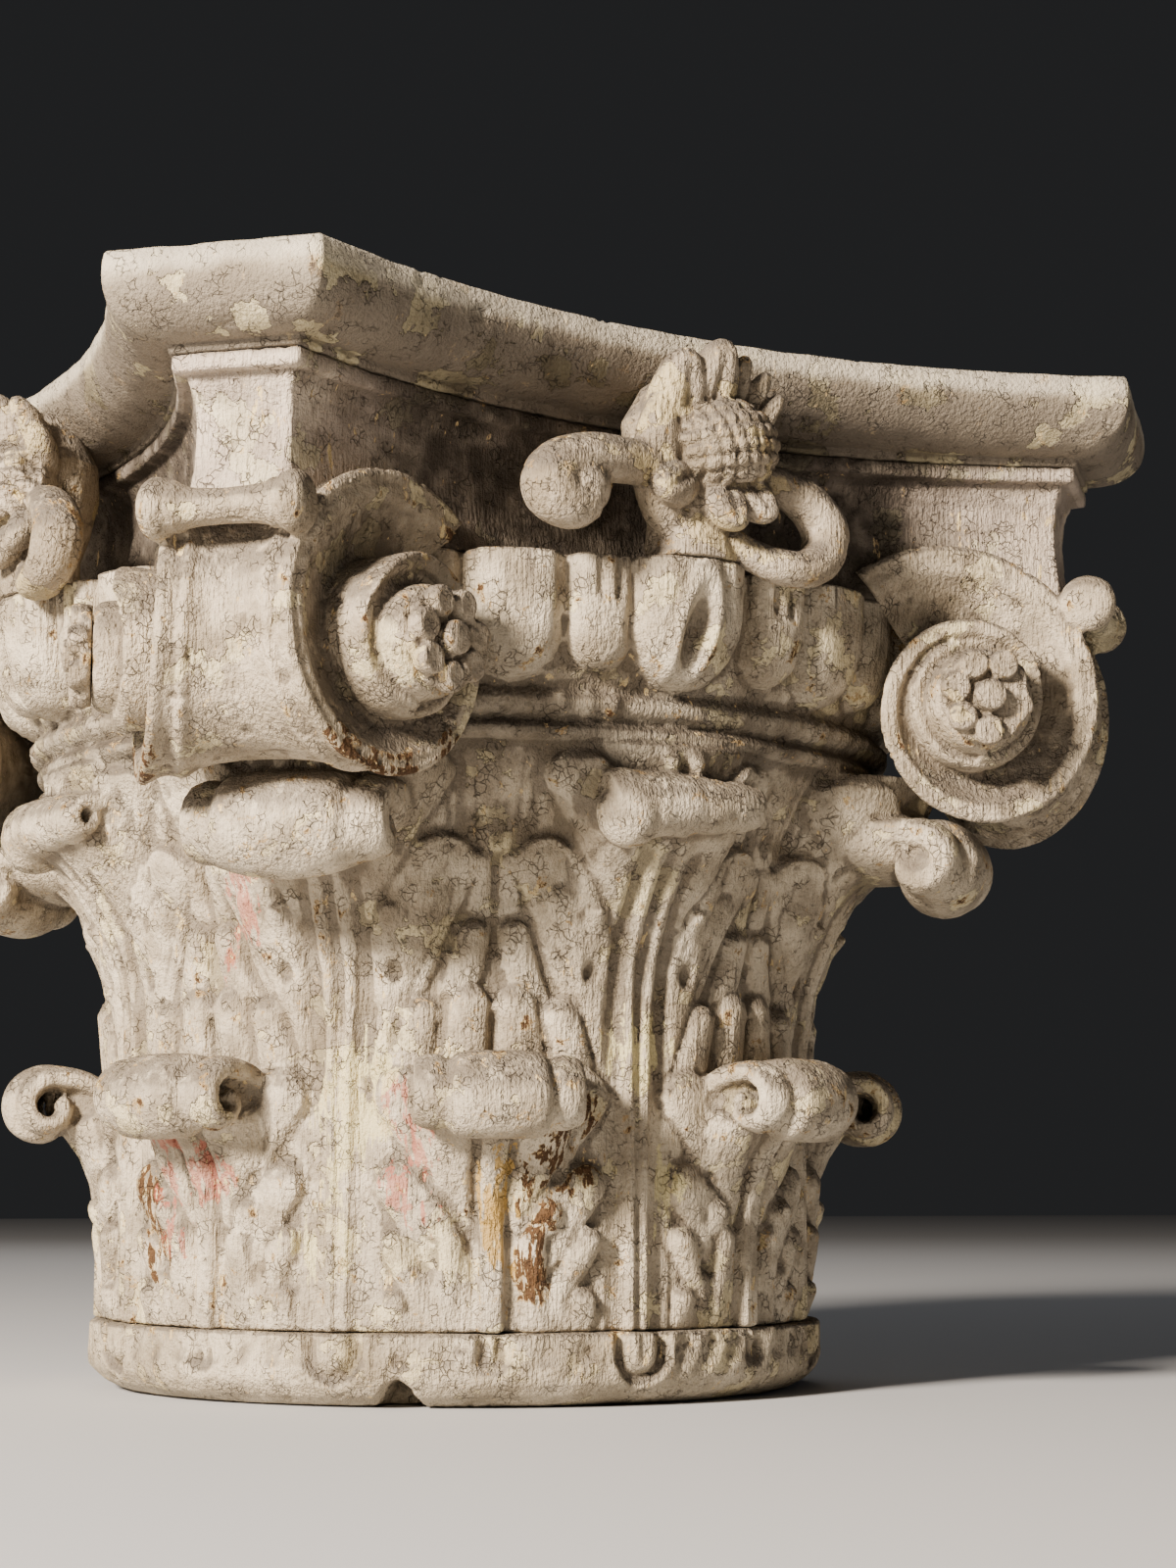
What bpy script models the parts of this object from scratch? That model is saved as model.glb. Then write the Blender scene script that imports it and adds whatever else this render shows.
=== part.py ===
"""Carved and painted wooden capital of the composite kind, with two rows of acanthus leaves.

Metres, +Z up. The origin is at the middle of the underside, and the four hollow sides face
-Y (front), +X (right), +Y (back) and -X (left). The volutes stand on the diagonals.
"""
import bpy
import bmesh
from math import atan2, ceil, cos, pi, radians, sin, sqrt, tan
from mathutils import Matrix, Vector

# Clearance left between two pieces that meet.
JOINT_GAP = 0.0003

# The four courses, from the ground up.
BASE_HEIGHT = 0.0268
BODY_HEIGHT = 0.2822
NECK_HEIGHT = 0.0555
CROWN_HEIGHT = 0.0315

# Base course: the turned foot.
BASE_RADIUS = 0.150
FOOT_RADIUS = 0.134
FOOT_ROUNDING = 0.014
BASE_FLUTE_DEPTH = 0.005
NOTCH_WIDTH = 0.017
NOTCH_HEIGHT = 0.011
NOTCH_ANGLE = -126.0

# Body: the drum behind the leaves, its flare and the mouldings over it.
DRUM_RADIUS = 0.141
FLARE_START = 0.128
FLARE_RADIUS = 0.171
RING_BAND = 0.0075
RING_RADIUS = 0.1765
BEAD_BAND = 0.0115
BEAD_RADIUS = 0.1815
EGG_COURSE_HEIGHT = 0.0475
EGG_COURSE_FOOT = 0.176
EGG_COURSE_RADIUS = 0.1925

# Egg course: what stands proud on each side.
EGG_WIDTH = 0.034
EGG_PROUD = 0.010
EGG_AT = 0.072
DART_WIDTH = 0.026
DART_PROUD = 0.007
DART_AT = 0.0385
TONGUE_WIDTH = 0.042
TONGUE_PROUD = 0.014
CUP_ROOT = 0.010
# Rows of each boss from its flat top down: share of the course's height, of the width and of the depth.
EGG_ROWS = ((0.0, 0.92, 0.95), (0.3, 1.0, 1.0), (0.62, 0.8, 0.85), (0.86, 0.25, 0.3))
DART_ROWS = ((0.0, 1.0, 1.0), (0.55, 0.95, 1.0), (0.8, 0.7, 0.7))
TONGUE_ROWS = ((0.0, 0.75, 1.0), (0.35, 1.0, 1.0), (0.68, 0.9, 0.95), (0.95, 0.35, 0.4))

# Leaves. Each reach is from the axis, each crest from the top of the base course.
# Each lobe widens from its foot to its head, given as shares of its height and of the leaf's width.
LEAVES_PER_ROW = 8
LEAF_THICKNESS = 0.009
LEAF_STAND_OFF = 0.002
# Across a leaf, from edge to edge: share of the half width, and how far the front is raised.
LEAF_RIB = 0.0035
LEAF_VALLEY = 0.002
LEAF_RELIEF = ((-1.0, 0.0), (-0.5, -LEAF_VALLEY), (0.0, LEAF_RIB), (0.5, -LEAF_VALLEY), (1.0, 0.0))
TIP_THICKNESS = 0.0115
LOBES_PER_SIDE = 3
LOBE_FOOT = (0.04, 0.6)
LOBE_HEAD = (0.84, 1.0)
NECK_FACING = -45.0
ROLL_STEPS = 4
ROLL_TURN = 76.0
ROLL_SHRINK = 0.11
TIP_DROOP = 0.10
LOWER_LEAF_CREST = 0.1000
LOWER_LEAF_REACH = 0.189
LOWER_LEAF_HALF_WIDTH = 0.043
LOWER_TIP_HALF_WIDTH = 0.031
LOWER_TIP_ROLL = 0.0165
UPPER_STEM_HALF_WIDTH = 0.0115
UPPER_LOBES_FOOT = 0.0840
FACE_LEAF_CREST = 0.2035
FACE_LEAF_REACH = 0.197
FACE_LEAF_HALF_WIDTH = 0.052
FACE_TIP_HALF_WIDTH = 0.028
FACE_TIP_ROLL = 0.0145
VOLUTE_OVER_LEAF = 0.0042
CORNER_LEAF_REACH = 0.229
CORNER_LEAF_HALF_WIDTH = 0.052
CORNER_TIP_HALF_WIDTH = 0.034
CORNER_TIP_ROLL = 0.0165

# Top board and neck in plan: four hollow arcs between four cut-off horns.
HORN_REACH = 0.2855
SIDE_REACH = 0.189
SIDE_HOLLOW_RADIUS = 0.3876
SIDE_WAIST = 0.006
FILLET_SET_BACK = 0.0225
FILLET_HEIGHT = 0.003
FILLET_STEP = 0.002
OVOLO_WAIST = 0.004
OVOLO_BAND = 0.009
TOP_LEAN = 0.0015
BAND_SET_BACK = 0.0235
BAND_STEP = 0.003
BAND_HEIGHT = 0.0055
NECK_SET_BACK = 0.029
NECK_HOLLOW = 0.004

# Volutes, on each diagonal: distance out, distance to the side, and height over the body's foot.
EYE_OUT = 0.225
EYE_SIDE = 0.052
EYE_HEIGHT = 0.2392
DISC_TURN = 23.7
SPIRAL_RADIUS = 0.065
SPIRAL_SHRINK = 0.5
SPIRAL_WIDTH = 0.97
SPIRAL_LEAD_IN = 42.0
SPIRAL_TURNS = 1.5
SPIRAL_START_SINK = 0.012
SPIRAL_RISE = 0.017
RIM_SHARE = 0.28
CHANNEL_DEPTH = 0.007
BAND_DISH = 0.008
SPOOL_HALF_LENGTH = 0.031
SPOOL_RADIUS = 0.0075
SPOOL_KNOB_RADIUS = 0.0115

# Rosettes in the eyes of the volutes, and the bosses under them.
BOSS_RADIUS = 0.0185
BOSS_DEPTH = 0.024
BOSS_SIDES = 9
ROSETTE_RADIUS = 0.0205
ROSETTE_PETALS = 7
ROSETTE_DEPTH = 0.0082
BUTTON_RADIUS = 0.007
BUTTON_PROUD = 0.0025

# Flower sprays in the middle of each side. Each reach is from the axis.
HEAD_REACH = 0.2015
HEAD_HALF_WIDTH = 0.0205
HEAD_HALF_HEIGHT = 0.0175
HEAD_HALF_DEPTH = 0.0165
HEAD_HEIGHT = 0.3242
SCROLL_SPREAD = 0.055
SCROLL_RADIUS = 0.0165
SCROLL_THICKNESS = 0.0115
SCROLL_REACH = 0.192
SCROLL_LIFT = 0.002
SCROLL_ROOT_REACH = 0.190
SCROLL_STEPS = 5
# The stem with its top leaf, from the foot up: height over the body, half width, back reach, and how
# far its front stands out past the middle of the seed head.
STEM_ROWS = (
    (JOINT_GAP, 0.0130, 0.176, -0.0005),
    (0.0280, 0.0195, 0.168, 0.0045),
    (0.0543, 0.0170, 0.164, 0.0035),
    (0.0643, 0.0270, 0.172, 0.0035),
    (0.0763, 0.0080, 0.182, -0.0015),
)
STEM_FRONT_SHARE = 0.55

# How finely round things are faceted.
DRUM_SIDES = 24
ARC_STEPS = 6
SPIRAL_STEPS_PER_TURN = 10

# Levels worked out from the courses.
BODY_FOOT = BASE_HEIGHT + JOINT_GAP
BODY_TOP = BASE_HEIGHT + BODY_HEIGHT
NECK_FOOT = BODY_TOP + JOINT_GAP
NECK_TOP = BODY_TOP + NECK_HEIGHT
CROWN_FOOT = NECK_TOP + JOINT_GAP
CROWN_TOP = NECK_TOP + CROWN_HEIGHT
EGG_FOOT = BODY_TOP - EGG_COURSE_HEIGHT
BEAD_FOOT = EGG_FOOT - BEAD_BAND
RING_FOOT = BEAD_FOOT - RING_BAND
EYE_LEVEL = BASE_HEIGHT + EYE_HEIGHT
CORNER_LEAF_CREST = EYE_HEIGHT - SPIRAL_RADIUS * SPIRAL_SHRINK ** 0.5 - VOLUTE_OVER_LEAF

SIDES = ("front", "right", "back", "left")
CORNERS = ("front_left", "front_right", "back_right", "back_left")


def paint(name, colour, roughness):
    """Old paint on wood: a Principled material with its own colour and roughness."""
    material = bpy.data.materials.new(name)
    material.use_nodes = True
    shader = material.node_tree.nodes["Principled BSDF"]
    shader.inputs["Base Color"].default_value = (*colour, 1.0)
    shader.inputs["Roughness"].default_value = roughness
    shader.inputs["Metallic"].default_value = 0.0
    material.diffuse_color = (*colour, 1.0)
    return material


def solid(name, points, faces, material):
    """A closed body from points and faces, with its normals made to face outward."""
    mesh = bpy.data.meshes.new(name)
    work = bmesh.new()
    corners = [work.verts.new(point) for point in points]
    for face in faces:
        work.faces.new([corners[index] for index in face])
    bmesh.ops.recalc_face_normals(work, faces=work.faces)
    if work.calc_volume(signed=True) < 0.0:
        bmesh.ops.reverse_faces(work, faces=work.faces)
    work.to_mesh(mesh)
    work.free()
    mesh.materials.append(material)
    item = bpy.data.objects.new(name, mesh)
    bpy.context.scene.collection.objects.link(item)
    return item


def shade_round(item, angle=40.0):
    """Smooth shading with edges over the angle kept sharp."""
    item.data.shade_smooth()
    item.data.set_sharp_from_angle(angle=radians(angle))


def helper(item):
    """Marks an object that only shapes others, so that it isn't part of the capital."""
    item.hide_render = True
    item.display_type = "WIRE"
    return item


def boolean(item, operation, other):
    """An exact Boolean with one object or with every object of a collection."""
    modifier = item.modifiers.new(operation.title(), "BOOLEAN")
    modifier.operation = operation
    modifier.solver = "EXACT"
    if isinstance(other, bpy.types.Collection):
        modifier.operand_type = "COLLECTION"
        modifier.collection = other
    else:
        modifier.object = other


def merge_flats(item, angle=4.0):
    """Joins faces that lie in one plane, such as the pieces a Boolean cuts a face into."""
    modifier = item.modifiers.new("Merge flats", "DECIMATE")
    modifier.decimate_type = "DISSOLVE"
    modifier.angle_limit = radians(angle)


def gather(name, items):
    """Moves objects to a collection of their own and returns it."""
    group = bpy.data.collections.new(name)
    bpy.context.scene.collection.children.link(group)
    for item in items:
        bpy.context.scene.collection.objects.unlink(item)
        group.objects.link(item)
    return group


def turned(item, angle):
    """Turns an object about the capital's axis, by rewriting its points."""
    item.data.transform(Matrix.Rotation(radians(angle), 4, "Z"))
    return item


def rings_to_faces(sizes):
    """Faces between closed rings of points, where a ring may have twice its neighbour's points."""
    faces = []
    starts = [sum(sizes[:row]) for row in range(len(sizes))]
    for row in range(len(sizes) - 1):
        low, high = sizes[row], sizes[row + 1]
        a, b = starts[row], starts[row + 1]
        if low == high:
            for i in range(low):
                j = (i + 1) % low
                faces.append((a + i, a + j, b + j, b + i))
            continue
        if low > high:
            low, high, a, b = high, low, b, a
        for i in range(low):
            j = (i + 1) % low
            near, middle, far = 2 * i, 2 * i + 1, (2 * i + 2) % high
            faces.append((a + i, b + near, b + middle))
            faces.append((a + i, b + middle, a + j))
            faces.append((a + j, b + middle, b + far))
    last = starts[-1]
    faces.append(tuple(range(sizes[0]))[::-1])
    faces.append(tuple(last + i for i in range(sizes[-1])))
    return faces


def lathe(name, profile, material, sides=DRUM_SIDES):
    """A turned solid. Each row is radius, height and, where it is beaded, the groove's depth."""
    points = []
    sizes = []
    for row in profile:
        radius, height = row[0], row[1]
        groove = row[2] if len(row) > 2 else 0.0
        count = 2 * sides if groove else sides
        sizes.append(count)
        for i in range(count):
            angle = 2 * pi * i / count
            reach = radius - groove * (i % 2)
            points.append((reach * cos(angle), reach * sin(angle), height))
    return solid(name, points, rings_to_faces(sizes), material)


def drum_radius(height):
    """Radius of the drum behind the leaves: straight, then flaring like a bell."""
    start = BODY_FOOT + FLARE_START
    if height <= start:
        return DRUM_RADIUS
    share = min(1.0, (height - start) / (RING_FOOT - start))
    return DRUM_RADIUS + (FLARE_RADIUS - DRUM_RADIUS) * share ** 1.8


def body_profile(grow=0.0):
    """Rows of the turned body, from foot to top; grow thickens it for a seat."""
    flare_levels = [BODY_FOOT + FLARE_START + (RING_FOOT - BODY_FOOT - FLARE_START) * k / 4 for k in range(5)]
    rows = [(DRUM_RADIUS + grow, BODY_FOOT)]
    rows += [(drum_radius(level) + grow, level) for level in flare_levels]
    rows += [
        (RING_RADIUS + grow, RING_FOOT + 0.25 * RING_BAND),
        (RING_RADIUS + grow, RING_FOOT + 0.8 * RING_BAND),
        (FLARE_RADIUS + grow, BEAD_FOOT),
    ]
    rows += [
        (BEAD_RADIUS + grow, BEAD_FOOT + 0.3 * BEAD_BAND),
        (BEAD_RADIUS + grow, BEAD_FOOT + 0.7 * BEAD_BAND),
        (EGG_COURSE_FOOT + grow, EGG_FOOT),
        (EGG_COURSE_RADIUS + grow, EGG_FOOT + 0.55 * EGG_COURSE_HEIGHT),
        (EGG_COURSE_RADIUS + grow, BODY_TOP + grow),
    ]
    return rows


def plan_point(inset, angle_share):
    """A point of one hollow side, from one horn (-1) to the other (1), set in by inset."""
    radius = SIDE_HOLLOW_RADIUS + inset
    centre = -(SIDE_REACH + SIDE_HOLLOW_RADIUS)
    horn = HORN_REACH - inset
    # The arc meets the horn's cut-off face where x - y equals the horn's reach times root two.
    total = horn * sqrt(2.0)
    half = total + centre
    x = (half + sqrt(max(0.0, 2.0 * radius * radius - half * half))) / 2.0
    widest = atan2(x, x - total - centre)
    angle = widest * angle_share
    return radius * sin(angle), centre + radius * cos(angle)


def plan_ring(inset, height, waist=0.0):
    """The whole outline at one height; waist hollows the sides more in the middle."""
    ring = []
    for quarter in range(4):
        turn = Matrix.Rotation(quarter * pi / 2, 3, "Z")
        for step in range(ARC_STEPS + 1):
            share = -1.0 + 2.0 * step / ARC_STEPS
            x, y = plan_point(inset + waist * (1.0 - share * share), share)
            ring.append(turn @ Vector((x, y, height)))
    return ring


def moulded_block(name, rows, material):
    """A block with the hollow-sided plan. Each row is inset, height and extra waist."""
    points = []
    for inset, height, waist in rows:
        points += plan_ring(inset, height, waist)
    count = 4 * (ARC_STEPS + 1)
    return solid(name, points, rings_to_faces([count] * len(rows)), material)


def crown_rows(grow=0.0):
    """Rows of the top board: fillet, quarter round and upright band."""
    ovolo_foot = CROWN_FOOT + FILLET_HEIGHT
    ovolo_rise = CROWN_TOP - OVOLO_BAND - ovolo_foot
    rows = [
        (FILLET_SET_BACK - grow, CROWN_FOOT - grow, SIDE_WAIST),
        (FILLET_SET_BACK - grow, ovolo_foot, SIDE_WAIST),
    ]
    for angle in (0.0, pi / 4, pi / 2):
        inset = (FILLET_SET_BACK - FILLET_STEP) * (1.0 - sin(angle))
        rows.append((inset - grow, ovolo_foot + ovolo_rise * (1.0 - cos(angle)), OVOLO_WAIST * cos(angle)))
    rows.append((TOP_LEAN - grow, CROWN_TOP + grow, 0.0))
    return rows


def neck_rows(grow=0.0):
    """Rows of the neck: a hollow under a flat band."""
    hollow_top = NECK_TOP - BAND_HEIGHT
    middle = NECK_FOOT + 0.55 * (hollow_top - NECK_FOOT)
    return [
        (NECK_SET_BACK - grow, NECK_FOOT - grow, SIDE_WAIST),
        (NECK_SET_BACK + NECK_HOLLOW - grow, middle, SIDE_WAIST),
        (NECK_SET_BACK - grow, hollow_top - BAND_STEP, SIDE_WAIST),
        (BAND_SET_BACK - grow, hollow_top, SIDE_WAIST),
        (BAND_SET_BACK - grow, NECK_TOP + grow, SIDE_WAIST),
    ]


def leaf_stations(crest, reach, roll, half_width, tip_half_width, foot=0.0, stem_half_width=None):
    """Stations (radius, height, facing, half width, thickness) of a leaf from root to rolled tip.

    Lobes widen the leaf as they rise and end abruptly. A stem may carry them up from the foot.
    """
    top = BASE_HEIGHT + crest
    centre_out, centre_up = reach - roll, top - roll
    leave = centre_up - 0.9 * roll
    first = BODY_FOOT + foot

    def upright(height, half):
        return (drum_radius(height) + LEAF_STAND_OFF, height, 0.0, half, LEAF_THICKNESS)

    stations = []
    if stem_half_width is not None:
        stations += [upright(BODY_FOOT, stem_half_width), upright(first, stem_half_width)]
    for lobe in range(LOBES_PER_SIDE):
        for part, width in (LOBE_FOOT, LOBE_HEAD):
            height = first + (leave - first) * (lobe + part) / LOBES_PER_SIDE
            if lobe == 0 and part == LOBE_FOOT[0] and stem_half_width is None:
                height = first
            stations.append(upright(height, half_width * width))
    start = Vector((drum_radius(leave) + LEAF_STAND_OFF, leave))
    crown = Vector((centre_out, top - TIP_THICKNESS / 2))
    place = (start + crown + 2 * Vector((start.x, crown.y - 0.35 * roll))) / 4
    stations.append((place.x, place.y, NECK_FACING, 0.5 * (0.8 * half_width + tip_half_width), TIP_THICKNESS))
    for step in range(ROLL_STEPS):
        turn = 90.0 - ROLL_TURN * step
        radius = (roll - TIP_THICKNESS / 2) * (1.0 - ROLL_SHRINK * step)
        place = (centre_out + radius * cos(radians(turn)), centre_up + radius * sin(radians(turn)))
        stations.append((*place, turn - 180.0, tip_half_width * (1.0 - 0.04 * step * step), TIP_THICKNESS))
    return stations


def leaf(name, angle, stations, material):
    """A leaf as a closed bent plate with a raised midrib, on the drum at an angle."""
    front = []
    back = []
    for radius, height, facing, half_width, thickness in stations:
        out, up = cos(radians(facing)), sin(radians(facing))
        overturned = 1.0 - cos(radians(min(-facing, 90.0)))
        rolled = facing < NECK_FACING

        def place(share, side):
            droop = TIP_DROOP * half_width * share * share * overturned
            bend = share * half_width / radius + radians(angle)
            reach = radius + side * out
            return reach * cos(bend), reach * sin(bend), height + side * up - droop

        for share, raised in LEAF_RELIEF:
            front.append(place(share, thickness / 2 + (0.0 if rolled else raised)))
        for share, raised in LEAF_RELIEF[::2]:
            back.append(place(share, -thickness / 2 - (0.5 * raised if rolled else 0.0)))
    wide, narrow = len(LEAF_RELIEF), len(LEAF_RELIEF[::2])
    count = len(front)
    faces = []
    for row in range(len(stations) - 1):
        near, far = row * wide, count + row * narrow
        for column in range(wide - 1):
            a = near + column
            faces.append((a, a + 1, a + wide + 1, a + wide))
        for column in range(narrow - 1):
            a = far + column
            faces.append((a, a + narrow, a + narrow + 1, a + 1))
        faces.append((near, near + wide, far + narrow, far))
        faces.append((near + wide - 1, far + narrow - 1, far + 2 * narrow - 1, near + 2 * wide - 1))
    for row in (0, len(stations) - 1):
        near, far = row * wide, count + row * narrow
        faces.append([near + column for column in range(wide)] + [far + narrow - 1 - k for k in range(narrow)])
    return helper(solid(name, front + back, faces, material))


def cup(name, angle, lateral, half_width, proud, rows, material):
    """A rounded boss on the egg course, lofted down from its flat top to its foot."""
    points = []
    for drop, width_share, proud_share in rows:
        height = BODY_TOP - drop * EGG_COURSE_HEIGHT
        wall = EGG_COURSE_RADIUS + (EGG_COURSE_FOOT - EGG_COURSE_RADIUS) * max(0.0, drop - 0.45) / 0.55
        for turn in (-180, -120, -60, 0):
            side = cos(radians(turn)) * half_width * width_share
            points.append((lateral + side, -wall + proud * proud_share * sin(radians(turn)), height))
        points.append((lateral + 0.6 * half_width * width_share, -wall + CUP_ROOT, height))
        points.append((lateral - 0.6 * half_width * width_share, -wall + CUP_ROOT, height))
    item = solid(name, points, rings_to_faces([6] * len(rows)), material)
    # The boss is laid round the drum, so its lateral place becomes an angle.
    for vertex in item.data.vertices:
        x, y, z = vertex.co
        bend = x / EGG_COURSE_RADIUS - pi / 2
        vertex.co = (-y * cos(bend), -y * sin(bend), z)
    return helper(turned(item, angle))


def body(material):
    """The turned body with leaves and egg course joined on."""
    item = lathe("bell", body_profile(), material)
    lower = leaf_stations(
        LOWER_LEAF_CREST, LOWER_LEAF_REACH, LOWER_TIP_ROLL, LOWER_LEAF_HALF_WIDTH, LOWER_TIP_HALF_WIDTH
    )
    stem = (UPPER_LOBES_FOOT, UPPER_STEM_HALF_WIDTH)
    face = leaf_stations(
        FACE_LEAF_CREST, FACE_LEAF_REACH, FACE_TIP_ROLL, FACE_LEAF_HALF_WIDTH, FACE_TIP_HALF_WIDTH, *stem
    )
    corner = leaf_stations(
        CORNER_LEAF_CREST, CORNER_LEAF_REACH, CORNER_TIP_ROLL, CORNER_LEAF_HALF_WIDTH, CORNER_TIP_HALF_WIDTH, *stem
    )
    carving = []
    step = 360.0 / LEAVES_PER_ROW
    for index in range(LEAVES_PER_ROW):
        upper = face if index % 2 == 0 else corner
        carving.append(leaf(f"upper_leaf_{index}", -90.0 + step * index, upper, material))
        carving.append(leaf(f"lower_leaf_{index}", -90.0 + step * (index + 0.5), lower, material))
    for quarter in range(4):
        angle = 90.0 * quarter
        carving.append(cup(f"tongue_{quarter}", angle, 0.0, TONGUE_WIDTH / 2, TONGUE_PROUD, TONGUE_ROWS, material))
        for hand in (-1, 1):
            carving.append(
                cup(f"dart_{quarter}_{hand}", angle, hand * DART_AT, DART_WIDTH / 2, DART_PROUD, DART_ROWS, material)
            )
            carving.append(
                cup(f"egg_{quarter}_{hand}", angle, hand * EGG_AT, EGG_WIDTH / 2, EGG_PROUD, EGG_ROWS, material)
            )
    boolean(item, "UNION", gather("body_carving", carving))
    merge_flats(item)
    return item


def base_course(material):
    """The lowest course: a turned disc with hollows between the leaf feet and a broken notch."""
    profile = [
        (FOOT_RADIUS, 0.0),
        (BASE_RADIUS - 0.3 * (BASE_RADIUS - FOOT_RADIUS), 0.35 * FOOT_ROUNDING),
        (BASE_RADIUS, FOOT_ROUNDING),
        (BASE_RADIUS, FOOT_ROUNDING + 0.002, BASE_FLUTE_DEPTH),
        (BASE_RADIUS, BASE_HEIGHT, BASE_FLUTE_DEPTH),
    ]
    item = lathe("base_course", profile, material)
    inner = FOOT_RADIUS - 1.5 * NOTCH_HEIGHT
    outer = BASE_RADIUS + NOTCH_HEIGHT
    points = []
    for reach, share in ((inner, 0.1), (outer, 1.0)):
        points += [
            (reach, -share * NOTCH_WIDTH / 2, -NOTCH_HEIGHT * 0.1),
            (reach, share * NOTCH_WIDTH / 2, -NOTCH_HEIGHT * 0.1),
            (reach, 0.0, share * NOTCH_HEIGHT),
        ]
    notch = helper(turned(solid("broken_notch", points, rings_to_faces([3, 3]), material), NOTCH_ANGLE))
    boolean(item, "DIFFERENCE", notch)
    return item


def disc_point(turn, radius, proud, hand):
    """A point of a volute's disc. Out is +X here, hand is the side and turn counts from the top."""
    slope = radians(DISC_TURN)
    around = 2 * pi * turn
    out = EYE_OUT + SPIRAL_WIDTH * cos(slope) * radius * sin(around)
    side = EYE_SIDE - tan(slope) * (out - EYE_OUT)
    return Vector((
        out + proud * sin(slope),
        hand * (side + proud * cos(slope)),
        EYE_LEVEL + radius * cos(around),
    ))


def spiral_radius(turn):
    return SPIRAL_RADIUS * SPIRAL_SHRINK ** turn


def spiral_proud(turn):
    return SPIRAL_RISE * turn - SPIRAL_START_SINK


def scroll_turns():
    """The turns at which a spiral has a station, from its root to its eye."""
    lead = SPIRAL_LEAD_IN / 360.0
    stations = ceil((SPIRAL_TURNS + lead) * SPIRAL_STEPS_PER_TURN)
    return [index / SPIRAL_STEPS_PER_TURN - lead for index in range(stations + 1)]


def eye_proud():
    """How far the eye of a scroll, which its rosette sits on, stands proud of the disc."""
    return spiral_proud(scroll_turns()[-1])


def scroll_disc(hand):
    """Points of one spiral side: outer rim, inner rim edge and channel floor at each station."""
    rows = []
    for turn in scroll_turns():
        outer = spiral_radius(turn)
        inner = spiral_radius(turn + 1.0)
        proud = spiral_proud(turn)
        rows.append([
            disc_point(turn, outer, proud, hand),
            disc_point(turn, outer + (inner - outer) * RIM_SHARE, proud, hand),
            disc_point(turn, inner, proud - CHANNEL_DEPTH, hand),
        ])
    return rows


def volute(name, angle, seats, material):
    """One corner scroll: two spiral discs joined by a dished band, with a spool on top."""
    steps = SPIRAL_STEPS_PER_TURN
    points = []
    faces = []
    starts = []
    counts = 0
    for hand in (1, -1):
        rows = scroll_disc(hand)
        counts = len(rows)
        base = len(points)
        starts.append(base)
        for row in rows:
            points += row
        for index in range(counts - 1):
            for column in range(2):
                a = base + 3 * index + column
                faces.append((a, a + 1, a + 4, a + 3))
            if index + steps + 1 < counts:
                floor = base + 3 * index + 2
                rim = base + 3 * (index + steps)
                faces.append((floor, rim, rim + 3, floor + 3))
        floors = [base + 3 * index + 2 for index in range(counts - 1 - steps, counts)]
        points.append(disc_point(0.0, 0.0, eye_proud() - CHANNEL_DEPTH, hand))
        centre = len(points) - 1
        for near, far in zip(floors, floors[1:]):
            faces.append((centre, near, far))
        last = base + 3 * (counts - 1)
        faces.append((centre, floors[-1], last + 1, last, floors[0]))
    dish = []
    eye = Vector((EYE_OUT, 0.0, EYE_LEVEL))
    for index in range(steps + 1):
        rim = points[starts[0] + 3 * index]
        inward = Vector((eye.x - rim.x, 0.0, eye.z - rim.z)).normalized() * BAND_DISH
        pair = []
        for share in (0.72, -0.72):
            points.append(Vector((rim.x, rim.y * share, rim.z)) + inward)
            pair.append(len(points) - 1)
        dish.append(pair)
    for index in range(steps):
        near = [starts[0] + 3 * index, *dish[index], starts[1] + 3 * index]
        far = [starts[0] + 3 * (index + 1), *dish[index + 1], starts[1] + 3 * (index + 1)]
        for column in range(3):
            faces.append((near[column], near[column + 1], far[column + 1], far[column]))
    left, right = starts
    faces.append((left + 3 * steps, *dish[steps], right + 3 * steps, right + 2, left + 2))
    faces.append((left + 2, right + 2, right + 1, left + 1))
    faces.append((left + 1, right + 1, right, dish[0][1], dish[0][0], left))
    item = solid(name, points, faces, material)
    turned(item, angle)
    additions = [turned(spool(f"{name}_spool", material), angle)]
    for hand in (1, -1):
        additions.append(turned(eye_boss(f"{name}_boss_{hand}", hand, material), angle))
    boolean(item, "UNION", gather(f"{name}_additions", additions))
    for seat in seats:
        boolean(item, "DIFFERENCE", seat)
    merge_flats(item)
    return item


def disc_ring(count, radius, proud, hand, phase=0.0):
    """A ring of points round a disc's eye, parallel to the disc."""
    slope = radians(DISC_TURN)
    centre = disc_point(0.0, 0.0, proud, hand)
    along = Vector((cos(slope), -hand * sin(slope), 0.0))
    ring = []
    for index in range(count):
        around = 2 * pi * (index + phase) / count
        reach = radius(index) if callable(radius) else radius
        ring.append(centre + along * reach * sin(around) + Vector((0, 0, 1)) * reach * cos(around))
    return ring


def eye_boss(name, hand, material):
    """The drum in the eye of a scroll, which its rosette sits on."""
    points = disc_ring(BOSS_SIDES, BOSS_RADIUS, eye_proud() - BOSS_DEPTH, hand)
    points += disc_ring(BOSS_SIDES, BOSS_RADIUS, eye_proud(), hand)
    return helper(solid(name, points, rings_to_faces([BOSS_SIDES] * 2), material))


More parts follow.
